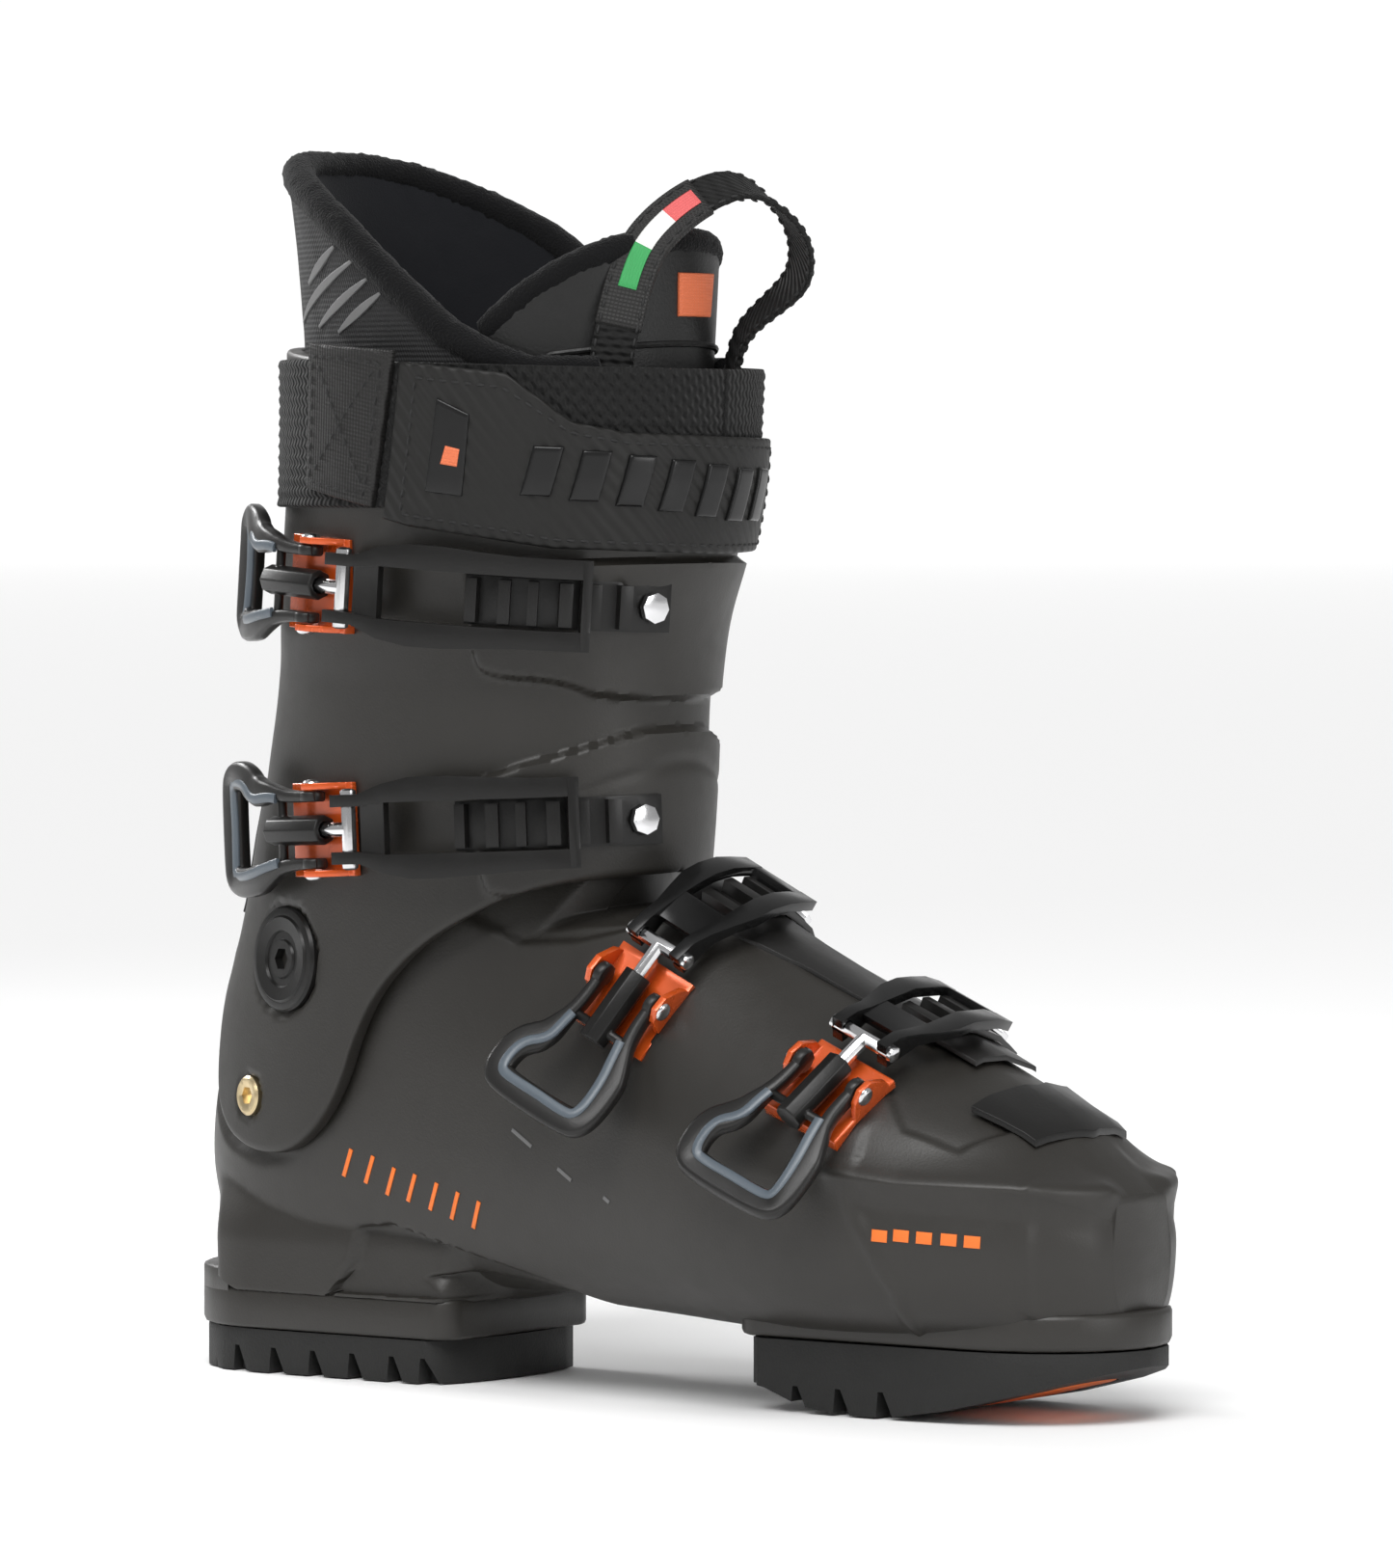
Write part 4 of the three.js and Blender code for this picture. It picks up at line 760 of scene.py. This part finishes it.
mesh_object("cuff_skin", np.concatenate([cuff_outer.reshape(-1, 3), cuff_inner.reshape(-1, 3)]), faces, CUFF,
            CUFF_PLASTIC, cad=("cuff_shell",), slot="shell", sharp=50)


# ---- Pieces laid on the cuff: a counts the turn in millimetres of a 57 mm circle, b is the height ----
ROUND = 57.0
FRONT = 2 * math.pi * ROUND


def on_leg(a, b, h):
    return leg_at(np.asarray(a) / ROUND, b, h)


def outer_line(points):
    """Points (x, z) of the outer side as (a, b)."""
    return [(float(leg_turn(x, z)) * ROUND, z) for x, z in points]


def past_front(y, z):
    """A point (y, z) of the front, past the centre, as (a, b)."""
    half = float(np.interp(z, [level[0] for level in LEG_LEVELS], [level[3] for level in LEG_LEVELS]))
    return (2 * math.pi + math.asin(y / half)) * ROUND, z


# ---- Liner ----
LINER_START, LINER_OUT, LINER_IN = 163.0, -5.0, -11.0
RIM = [(-25, 340), (-12, 339.5), (-4, 337), (11, 330), (28, 321), (54, 303), (70, 291.5), (84, 285), (96, 281)]


def rim_height(turn):
    x = leg_at(turn, np.full(np.shape(turn), 300.0))[..., 0]
    return np.interp(x, [p[0] for p in RIM], [p[1] for p in RIM])


liner_turns = np.linspace(0.62, 2 * np.pi - 0.62, 200)
liner_top = rim_height(liner_turns)
liner_rows = spread(56, 160, 2.5)[:, None]
liner_z = LINER_START + liner_rows * (liner_top - LINER_START)
liner_t = np.broadcast_to(liner_turns, liner_z.shape)
crumple = 0.35 * np.sin(liner_t * 23 + liner_z * 0.11) * np.sin(liner_z * 0.16 + liner_t * 5)
liner = slab("liner_upper", leg_at, liner_t, liner_z, LINER_IN, LINER_OUT + np.minimum(crumple, 0), CUFF,
             KNIT, edge=2.5, both=True, cad=("liner_cuff",), slot="liner_fabric")
lining = slab("liner_lining", leg_at, liner_t, liner_z - 1.5, LINER_IN - 0.7, LINER_IN - 0.1, CUFF, INNER,
              edge=0.3, slot="liner_fabric")
roll = leg_at(liner_turns, liner_top - 1.0, -8.0)
edge_roll = tube("liner_edge_roll", roll, 4.6, CUFF, PLUSH, sides=18, wobble=0.035, slot="liner_fabric")
# Pale grey streaks on the liner's back are painted highlights: a fixed lighter colour standing in for the
# glossy arcs where light catches the liner.
LINER_PAINTED_HIGHLIGHTS = [((26.8, 315), (10.6, 305)), ((35.7, 311), (3, 294.5)), ((41.8, 305.8), (17, 292.8)),
           ((47.3, 301.8), (28.2, 291.2))]
for number, (upper, lower) in enumerate(LINER_PAINTED_HIGHLIGHTS):
    ends = np.array(outer_line([lower, upper]))
    along = (ends[1] - ends[0]) / np.linalg.norm(ends[1] - ends[0])
    across = np.array([-along[1], along[0]]) * 1.3
    s = spread(24, 20, 0.3)
    middle = ends[0] + s[:, None] * (ends[1] - ends[0])
    width = spread(5, 2.6, 0.3)[:, None, None] * 2 - 1
    grid = middle[None] + width * across * (0.35 + 0.65 * np.sin(np.pi * s)[:, None])
    slab("liner_stripe_%d" % number, on_leg, grid[..., 0], grid[..., 1], LINER_OUT - 0.2, LINER_OUT + 0.45,
         CUFF, PRINT_AND_HIGHLIGHT_GREY, edge=0.3, slot="liner_fabric")

TONGUE_OUT, TONGUE_IN = -11.9, -18.6
tongue_turns = np.linspace(-1.25, 1.25, 110)
tongue_top = 317 - 26 * (np.abs(tongue_turns) / 1.25) ** 2.6
tongue_z = LINER_START + spread(56, 150, 2.5)[:, None] * (tongue_top - LINER_START)
tongue_t = np.broadcast_to(tongue_turns, tongue_z.shape)
tongue = slab("tongue_pad", leg_at, tongue_t, tongue_z, TONGUE_IN, TONGUE_OUT, CUFF, LEATHER, edge=2.6,
              both=True, cad=("tongue",), slot="liner_fabric")
tongue_roll = tube("tongue_edge_roll", leg_at(tongue_turns, tongue_top - 1.0, -15.0), 4.0, CUFF, PLUSH,
                   sides=16, wobble=0.035, slot="liner_fabric")
seam_turns = np.linspace(-0.9, 0.9, 60)
seam_line = leg_at(seam_turns, 288 - 4 * seam_turns**2, TONGUE_OUT + 0.2)
tube("tongue_seam", seam_line, 0.9, CUFF, LEATHER, sides=8, slot="liner_fabric")
label_a, label_b = patch([(FRONT - 5.5, 295.5), (FRONT + 14.5, 295.5)],
                         [(FRONT - 6.5, 307.5), (FRONT + 15.5, 307.5)], 20, 12, 20, 12, edge=0.4)
slab("tongue_label", on_leg, label_a, label_b, TONGUE_OUT - 0.2, TONGUE_OUT + 0.7, CUFF, PATCH_ORANGE,
     edge=0.4, slot="liner_fabric")

liner_places = np.linspace(0.12, 1, 110)[:, None] * (place_top + 0.35)[None, ::2]
liner_foot_t = np.broadcast_to(turns[::2], liner_places.shape)


def liner_skin(grow, floor_z):
    points = under_cuff(foot_at(liner_places, liner_foot_t, grow), grow - 5.2)
    points[..., 2] = np.clip(points[..., 2], floor_z, 158)
    return points


foot_out, foot_in = liner_skin(-6.0, 33.6), liner_skin(-11.4, 39.0)
rows, columns = foot_out.shape[:2]
faces = quads(rows, columns, wrap_columns=True).tolist()
faces += quads(rows, columns, rows * columns, wrap_columns=True, turned=True).tolist()
last = (rows - 1) * columns + np.append(np.arange(columns), 0)
faces += np.stack([last[:-1], last[1:], last[1:] + rows * columns, last[:-1] + rows * columns], -1).tolist()
faces += [list(range(columns))[::-1], [rows * columns + i for i in range(columns)]]
liner_low = mesh_object("liner_lower", np.concatenate([foot_out.reshape(-1, 3), foot_in.reshape(-1, 3)]),
                        faces, BODY, INNER, cad=("liner_foot",), slot="liner_fabric")
for node_name in ("boot_board", "footbed"):
    softened(node_name, 0.5, FELT)


# ---- Pull loop ----
def tongue_front(y, z, ahead=0.0):
    a, b = past_front(y, z)
    return on_leg(a, b, TONGUE_OUT + 4.1) + np.array([ahead, 0, 0])


def catmull(points, count):
    p = np.vstack([2 * points[0] - points[1], points, 2 * points[-1] - points[-2]])
    u = np.linspace(0, len(points) - 1 - 1e-9, count)
    i = u.astype(int)
    t = (u - i)[:, None]
    a, b, c, d = p[i], p[i + 1], p[i + 2], p[i + 3]
    return b + 0.5 * t * (c - a + t * (2 * a - 5 * b + 4 * c - d + t * (3 * (b - c) + d - a)))


loop_x = tongue_front(-30.5, 289)[0]
LOOP = np.array([
    tongue_front(-31, 272), tongue_front(-30.5, 289), (loop_x + 4, -17, 316), (loop_x + 17, 2, 331),
    (loop_x + 29, 14, 322), (loop_x + 25, 24, 307), tongue_front(26, 291, 4.5), tongue_front(26, 272)])
loop_line = resample(catmull(LOOP, 400), 150)
loop_share = np.linspace(0, 1, 150)
loop_along = unit(np.gradient(loop_line, axis=0))
loop_side = np.stack([np.full(150, 0.75), 0.73 * (1 - 2 * loop_share), -0.45 * np.sin(np.pi * loop_share)], -1)
loop_side -= np.sum(loop_side * loop_along, 1, keepdims=True) * loop_along
loop_side = unit(loop_side)
loop_out = np.cross(loop_along, loop_side)


def on_loop(a, b, h):
    """a is the place along the loop (0 to 1), b the offset across it and h the height over its middle."""
    def look(values):
        return np.stack([np.interp(a, loop_share, values[:, k]) for k in range(3)], -1)
    return look(loop_line) + look(loop_side) * b[..., None] + look(loop_out) * np.asarray(h)[..., None]


def loop_strip(name, from_share, to_share, low, high, thick_low, thick_high, finish, edge=0.5):
    count = max(int((to_share - from_share) * 200), 8)
    b = low + spread(7, high - low, edge)[:, None] * (high - low)
    b = np.broadcast_to(b, (len(b), count))
    a = np.broadcast_to(np.linspace(from_share, to_share, count), b.shape)
    return slab(name, on_loop, a, b, thick_low, thick_high, CUFF, finish, edge=edge, both=True, slot="webbing")


loop = loop_strip("pull_loop_webbing", 0.0, 1.0, -6, 6, -0.7, 0.7, WEBBING)
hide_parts("pull_loop")
loop_strip("pull_loop_cover", 0.13, 0.42, -6.5, 6.5, -1.3, 1.3, PLAIN_PATCH)
for number, (first, final) in enumerate([(0.35, 0.41), (0.28, 0.35), (0.20, 0.28)]):
    for word, low, high in (("front", 1.25, 1.7), ("back", -1.7, -1.25)):
        loop_strip("pull_loop_stripe_%d_%s" % (number, word), first, final, -2.6, 2.6, low, high,
                   FLAG[number], 0.3)
for word, side in (("left", -5.2), ("right", 5.2)):
    for face, height in (("front", 1), ("back", -1)):
        share = np.linspace(0.02, 0.98, 130)
        base = np.where((share > 0.13) & (share < 0.42), 1.35, 0.75) * height
        line = on_loop(share, np.full(130, side), base)
        normal = np.stack([np.interp(share, loop_share, loop_out[:, k]) for k in range(3)], -1) * height
        stitches("pull_loop_stitch_%s_%s" % (word, face), [(line, normal)], CUFF, THREAD, slot="webbing")

# ---- Power strap ----
band_low, band_high = (corner[2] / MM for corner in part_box("power_strap_band"))
band_a = np.linspace(0, 2 * np.pi * ROUND, 321)[:-1]
band_rise = spread(40, band_high - band_low, 0.7)[:, None]
band_top = np.interp(leg_at(band_a / ROUND, np.full(320, 270.0))[:, 0], [-12, 20, 60, 125], [
    band_high, band_high, band_high - 1, band_high - 3])
band_b = band_low + band_rise * (band_top - band_low)
band_a = np.broadcast_to(band_a, band_b.shape)
rib = 0.25 * np.sin(band_b * 2 * np.pi / 3.2)
slab("strap_band", on_leg, band_a, band_b, 0.5, 2.3 + rib, CUFF, WEBBING, edge=0.7, wrap=True,
     cad=("power_strap_band",), slot="webbing")
FLAP_LOW, FLAP_HIGH = 2.8, 4.8
flap_bottom = outer_line([(54, 240), (62, 238), (98, 232)]) + [past_front(0, 230.3), past_front(33, 231)]
flap_top = outer_line([(61.5, 283), (90, 279.8), (104, 266.5), (114, 263.5)]) + [
    past_front(0, 262.5), past_front(33, 262)]
flap_a, flap_b = patch(flap_bottom, flap_top, 160, 46, 100, 40, edge=1.0)
slab("strap_flap", on_leg, flap_a, flap_b, FLAP_LOW, FLAP_HIGH, CUFF, STRAP, edge=0.9,
     cad=("power_strap_flap",), slot="strap_face")
patch_a, patch_b = patch(outer_line([(25, 248.5), (50.4, 243)]), outer_line([(28, 288.5), (59.4, 286)]),
                         40, 46, 30, 42, edge=0.9)
slab("strap_patch", on_leg, patch_a, patch_b, FLAP_LOW, FLAP_HIGH, CUFF, PLAIN_PATCH, edge=0.9,
     cad=("power_strap_patch",), slot="strap_face")


def stitch_line(points, height, count=60):
    p = resample(points, count)
    base = on_leg(p[:, 0], p[:, 1], height)
    normal = on_leg(p[:, 0], p[:, 1], height + 1.0) - base
    return base, unit(normal)


def inset(grid_a, grid_b, share_a, share_b):
    """The border of a patch, moved in by shares of its size, as a closed line."""
    rows, columns = grid_a.shape
    i0, i1 = int(share_b * rows), int((1 - share_b) * rows) - 1
    j0, j1 = int(share_a * columns), int((1 - share_a) * columns) - 1
    index = [(i0, j) for j in range(j0, j1)] + [(i, j1) for i in range(i0, i1)]
    index += [(i1, j) for j in range(j1, j0, -1)] + [(i, j0) for i in range(i1, i0, -1)] + [(i0, j0)]
    return [(grid_a[i, j], grid_b[i, j]) for i, j in index]


border = inset(patch_a, patch_b, 0.14, 0.12)
THREAD_HEIGHT = FLAP_HIGH - 0.1
corners = [(patch_a[i, j], patch_b[i, j]) for i, j in ((9, 9), (9, -10), (-10, -10), (-10, 9))]
stitches("strap_patch_stitching", [
    stitch_line(border, THREAD_HEIGHT, 260), stitch_line(corners[::2], THREAD_HEIGHT),
    stitch_line(corners[1::2], THREAD_HEIGHT)], CUFF, THREAD, slot="strap_face")
stitches("strap_flap_stitching", [stitch_line(inset(flap_a, flap_b, 0.05, 0.12), THREAD_HEIGHT, 500)], CUFF,
         THREAD, slot="strap_face")

badge_a, badge_b = patch(outer_line([(68.3, 247.5), (78.2, 246.2)]),
                         outer_line([(72.5, 273), (81.1, 268.5)]), 12, 20, 10, 25, edge=0.5)
slab("strap_badge", on_leg, badge_a, badge_b, FLAP_HIGH - 0.3, FLAP_HIGH + 0.6, CUFF, GLOSS, edge=0.5,
     slot="black_plastic")
mark_a, mark_b = patch(outer_line([(73, 255), (77.5, 254.2)]), outer_line([(74.6, 260), (78.4, 259)]),
                       6, 6, 4, 5, edge=0.3)
slab("strap_badge_mark", on_leg, mark_a, mark_b, FLAP_HIGH + 0.4, FLAP_HIGH + 0.85, CUFF, PATCH_ORANGE,
     edge=0.3, slot="black_plastic")
bar_from, bar_to, bar_count = 5.30 * ROUND, 6.72 * ROUND, 7
for number in range(bar_count):
    a0 = bar_from + (bar_to - bar_from) * number / bar_count
    a1 = a0 + (bar_to - bar_from) / bar_count * 0.62
    z0 = float(np.interp(a0, [5.3 * ROUND, 6.28 * ROUND], [246.5, 239.5]))
    z1 = float(np.interp(a0, [5.3 * ROUND, 6.28 * ROUND], [260.0, 254.0]))
    bar_a, bar_b = patch([(a0 - 1.5, z0), (a1 - 1.5, z0 - 0.3)], [(a0 + 1.5, z1), (a1 + 1.5, z1 - 0.3)],
                         12, 12, 6, 14, edge=0.8)
    slab("strap_bar_%d" % number, on_leg, bar_a, bar_b, FLAP_HIGH - 0.3, FLAP_HIGH + 1.1, CUFF, GLOSS,
         edge=0.8, slot="black_plastic")


# ---- Pivots and cant screws, square to the surface ----
def on_surface(x, z, outer_side):
    turn = leg_turn(x, z, outer_side)
    here = leg_at(turn, z)
    normal = np.cross(leg_at(turn + 0.01, z) - here, leg_at(turn, z + 0.5) - here)
    normal /= np.linalg.norm(normal)
    if normal[1] * here[1] < 0:
        normal = -normal
    return here, normal


PIVOT_SOCKET, CANT_SOCKET = 3.25, 2.65
PIVOT_PROFILE = [(0.3, -1.6), (1.4, -1.6), (3.2, -1.6), (PIVOT_SOCKET, 0.9), (5.2, 0.9), (5.6, 0.3),
                 (7.6, 0.3), (8.0, 1.0), (11.6, 1.5), (12.2, 0.9), (13.2, 0.9), (14.2, 0.7),
                 (14.8, -0.2), (14.8, -1.6)]
CANT_PROFILE = [(0.5, -1.2), (2.6, -1.2), (CANT_SOCKET, 0.5), (3.4, 0.9), (4.9, 0.8), (5.6, 0.2), (5.6, -1.8)]
for word, outer_side in (("outer", True), ("inner", False)):
    here, normal = on_surface(PIVOT[0], PIVOT[2], outer_side)
    disc = lathe(PIVOT_PROFILE, basis(here, normal, (0, 0, 1)), 72, hexagon=PIVOT_SOCKET)
    mesh_object("pivot_" + word, *disc, CUFF, SATIN, cad=("ankle_pivot_" + word,), slot="black_plastic",
                sharp=30)
    here, normal = on_surface(CANT_X, CANT_Z, outer_side)
    screw = lathe(CANT_PROFILE, basis(here, normal, (0, 0, 1)), 60, hexagon=CANT_SOCKET)
    mesh_object("cant_" + word, *screw, CUFF, BRASS, cad=("cant_screw_" + word,), slot="brass", sharp=30)


# ---- Levers: a closed loop with an inlaid ring, swept in each buckle's own frame ----
BUCKLES = ("top_cuff_buckle", "lower_cuff_buckle", "instep_buckle", "toe_buckle")


def buckle_matrix(name):
    across = np.array(JOINTS[name + "_lever_swing"]["axis"])
    ahead = np.array(JOINTS[name + "_micro_adjust"]["axis"])
    return frame_matrix(np.array(JOINTS[name + "_lever_swing"]["pos_m"]) / MM, ahead, across,
                        np.cross(ahead, across))


def points_in(node_name, matrix):
    """A CAD node's vertices in a buckle's own frame."""
    mesh = frame["nodes"][node_name].data
    points = np.array([v.co for v in mesh.vertices]) / MM
    return placed(points, np.linalg.inv(matrix))


def swept_bar(line, width, height, rise, count=14):
    """A rounded bar along a line of the buckle frame; rise is its height over the line."""
    p = np.asarray(line, float)
    along = unit(np.gradient(p, axis=0))
    side = unit(np.cross([0, 0, 1.0], along))
    up = np.cross(along, side)
    turn = np.linspace(0, 2 * np.pi, count, endpoint=False) + np.pi / count
    sx = np.sign(np.cos(turn)) * np.abs(np.cos(turn)) ** 0.5
    sz = np.sign(np.sin(turn)) * np.abs(np.sin(turn)) ** 0.5
    width = np.broadcast_to(width, (len(p),))
    ring = p[:, None] + side[:, None] * (width[:, None] / 2 * sx)[..., None]
    ring = ring + up[:, None] * (height / 2 * sz + rise)[..., None]
    faces = quads(len(p), count, wrap_columns=True).tolist() + caps(len(p), count)
    return ring.reshape(-1, 3), faces


def turned_pair(profile, x, y, sides):
    """Two turned ends that face out at both sides of the buckle frame."""
    return joined([lathe(profile, basis((x, side * y, 0), (0, side, 0)), sides) for side in (1, -1)])


EAR = [(3.4 * math.cos(a), 3.4 * math.sin(a)) for a in np.linspace(0, 2 * math.pi, 24)[:-1]]
RIVET_PROFILE = [(0.3, 1.0), (1.5, 0.95), (2.3, 0.6), (2.7, 0.0), (2.7, -0.4)]
PIN_PROFILE = [(0.3, 0.9), (1.4, 0.8), (2.2, 0.3), (2.3, -0.8)]
for name in BUCKLES:
    matrix = buckle_matrix(name)
    on_cuff = "cuff" in name
    points = points_in(name + "_lever", matrix)
    length = -points[:, 0].min()
    drop = -points[points[:, 0] < -length + 4][:, 2].mean()
    flare, straight = (15.5, 14.5) if on_cuff else (18.5, 13.5)
    outline = smooth([
        (3.0, ARM_MIDDLE), (-9, ARM_MIDDLE), (-15, ARM_MIDDLE + 1.5), (-0.55 * length, 0.68 * flare),
        (-0.68 * length, flare), (-length + 4, flare), (-length + 1.8, flare - 4),
        (-length + 1.8, -straight + 4), (-length + 4, -straight), (-0.62 * length, -straight),
        (-15, -ARM_MIDDLE - 1.5), (-9, -ARM_MIDDLE), (3.0, -ARM_MIDDLE)], 3, closed=False)
    outline = resample(outline, 150)
    sag = -drop * (np.clip(-outline[:, 0] - 10, 0, None) / (length - 10)) ** 2
    line = np.column_stack([outline, sag])
    width = np.interp(-outline[:, 0], [0, 14, 24, length], [3.0, 3.8, 8.6, 8.0])
    ears = [prism(EAR, side * ARM_MIDDLE - 1.4, side * ARM_MIDDLE + 1.4, 0.5, basis((0, 0, 0), (0, 1, 0)))
            for side in (1, -1)]
    body, faces = joined([swept_bar(line, width, 4.4, 0.0), *ears])
    mesh_object(name + "_lever_loop", placed(body, matrix), faces, name + "_lever", LEVER,
                cad=(name + "_lever",), slot="shell", sharp=60)
    ring = line[line[:, 0] < -11]
    centre = np.array([-0.62 * length, (flare - straight) / 2])
    ring[:, :2] += unit(centre - ring[:, :2]) * 2.0
    body, faces = swept_bar(ring, 2.8, 1.4, 1.9, 10)
    mesh_object(name + "_lever_ring", placed(body, matrix), faces, name + "_lever", INLAY,
                cad=(name + "_lever_inlay",), slot="inlay", sharp=60)
    body, faces = turned_pair(RIVET_PROFILE, 0, 13.0, 28)
    mesh_object(name + "_rivets", placed(body, matrix), faces, CUFF if on_cuff else BODY, STEEL, slot="steel",
                sharp=40)
    # The cross pin of the bail: two chrome ends beside the rod.
    body, faces = turned_pair(PIN_PROFILE, BAIL_PIN, 10.4, 24)
    mesh_object(name + "_pin_ends", placed(body, matrix), faces, name + "_bail", STEEL, slot="steel", sharp=40)

# ---- Generic printed marks on the shell's outer side ----
side_points = outer.reshape(-1, 3)
side_points = side_points[side_points[:, 1] < -12]


def mark(number, x, z, width, height, lean, finish):
    near = side_points[np.argsort((side_points[:, 0] - x) ** 2 + (side_points[:, 2] - z) ** 2)[:9]]
    middle = near.mean(0)
    normal = np.linalg.svd(near - middle)[2][2]
    normal = normal if normal[1] < 0 else -normal
    turn = math.radians(lean)
    matrix = basis(middle, normal, (math.cos(turn), 0, math.sin(turn)))
    v, f = prism([(-width / 2, -height / 2), (width / 2, -height / 2), (width / 2, height / 2),
                  (-width / 2, height / 2)], -0.5, 0.25, 0.1, matrix)
    mesh_object("side_mark_%d" % number, v, f, BODY, finish, slot="orange_rubber", sharp=40)


for number in range(7):
    mark(number, 24 + 7.6 * number, 61 - 2.1 * number, 1.3, 8.5, -24, ORANGE_RUBBER)
for number in range(5):
    mark(10 + number, 212 + 6.2 * number, 50.5 - 0.2 * number, 4.4, 3.2, -3, ORANGE_RUBBER)
for number, (x, z, width) in enumerate([(88, 71, 8.5), (104, 61.6, 6.0), (120, 55.5, 2.5)]):
    mark(20 + number, x, z, width, 1.1, -30, PRINT_AND_HIGHLIGHT_GREY)


# ---- Everything that keeps its CAD shape, with rounded edges ----
MADE_ABOVE = {
    "lower_shell", "cuff_shell", "ankle_pivot_outer", "ankle_pivot_inner", "cant_screw_outer",
    "cant_screw_inner", "liner_foot", "liner_cuff", "tongue", "pull_loop", "power_strap_band",
    "power_strap_flap", "power_strap_patch", "boot_board", "footbed",
}
MADE_ABOVE |= {name + word for name in BUCKLES for word in ("_lever", "_lever_inlay")}
ROUNDING = {"orange_metal": 0.5, "sole_rubber": 0.5, "orange_rubber": 0.5, "steel": 0.3, "brass": 0.3,
            "black_plastic": 0.4, "soft_plastic": 0.3}
for node_name in sorted(set(frame["nodes"]) - MADE_ABOVE):
    shiny = node_name in ("instep_buckle_bail", "toe_buckle_bail")
    softened(node_name, ROUNDING[SLOTS[node_name]], GLOSS if shiny else None)


# ---- Camera, light and ground ----
TARGET = Vector((0.1167, 0, 0.167))
AZIMUTH, ELEVATION, DISTANCE = math.radians(36), math.radians(2), 2.5
LENS = 234.69
camera = linked("camera", bpy.data.cameras.new("camera"))
camera.location = TARGET + DISTANCE * Vector((
    math.sin(AZIMUTH) * math.cos(ELEVATION), -math.cos(AZIMUTH) * math.cos(ELEVATION), math.sin(ELEVATION)))
camera.rotation_euler = (TARGET - camera.location).to_track_quat("-Z", "Y").to_euler()
camera.data.sensor_fit = "HORIZONTAL"
camera.data.sensor_width = 36
camera.data.lens = LENS
camera.data.clip_start = 0.05
bpy.context.scene.camera = camera
bpy.context.scene.view_settings.view_transform = "Standard"

world = bpy.data.worlds.new("studio")
world.use_nodes = True
world.node_tree.nodes["Background"].inputs["Color"].default_value = (1.0, 1.0, 1.0, 1)
world.node_tree.nodes["Background"].inputs["Strength"].default_value = 0.38
bpy.context.scene.world = world


def area_light(name, place, size, power):
    light = linked(name, bpy.data.lights.new(name, "AREA"))
    light.data.shape = "DISK"
    light.data.size = size
    light.data.energy = power
    light.location = place
    light.rotation_euler = (TARGET - Vector(place)).to_track_quat("-Z", "Y").to_euler()


sun = linked("sun", bpy.data.lights.new("sun", "SUN"))
sun.data.energy = 2.1
sun.data.angle = math.radians(35)
sun.rotation_euler = Vector((-0.30, 0.52, -0.8)).to_track_quat("-Z", "Y").to_euler()
area_light("key", (0.1, -1.6, 1.3), 0.6, 7)
area_light("edge", (-1.3, 0.2, 0.9), 0.5, 11)
area_light("front", (1.5, -0.1, 0.5), 0.6, 4)


def studio_plane(name, corners, settings):
    finish = bpy.data.materials.new(name)
    finish.use_nodes = True
    for socket, value in settings.items():
        finish.node_tree.nodes["Principled BSDF"].inputs[socket].default_value = value
    mesh = bpy.data.meshes.new(name)
    mesh.from_pydata(corners, [], [(0, 1, 2, 3)])
    mesh.materials.append(finish)
    return linked(name, mesh)


floor = studio_plane("studio_floor", [(-90, -90, 0), (90, -90, 0), (90, 90, 0), (-90, 90, 0)],
                     {"Base Color": (0.99, 0.99, 0.99, 1), "Roughness": 0.8})
floor.location.z = -0.0004
BACKDROP_DISTANCE = 30
backdrop = studio_plane("studio_backdrop", [(-8, 0, -1), (8, 0, -1), (8, 0, 14), (-8, 0, 14)],
                        {"Base Color": (0, 0, 0, 1), "Emission Color": (1, 1, 1, 1), "Emission Strength": 1.0})
backdrop.location = (-BACKDROP_DISTANCE * math.sin(AZIMUTH), BACKDROP_DISTANCE * math.cos(AZIMUTH), 0)
backdrop.rotation_euler = (0, 0, AZIMUTH)
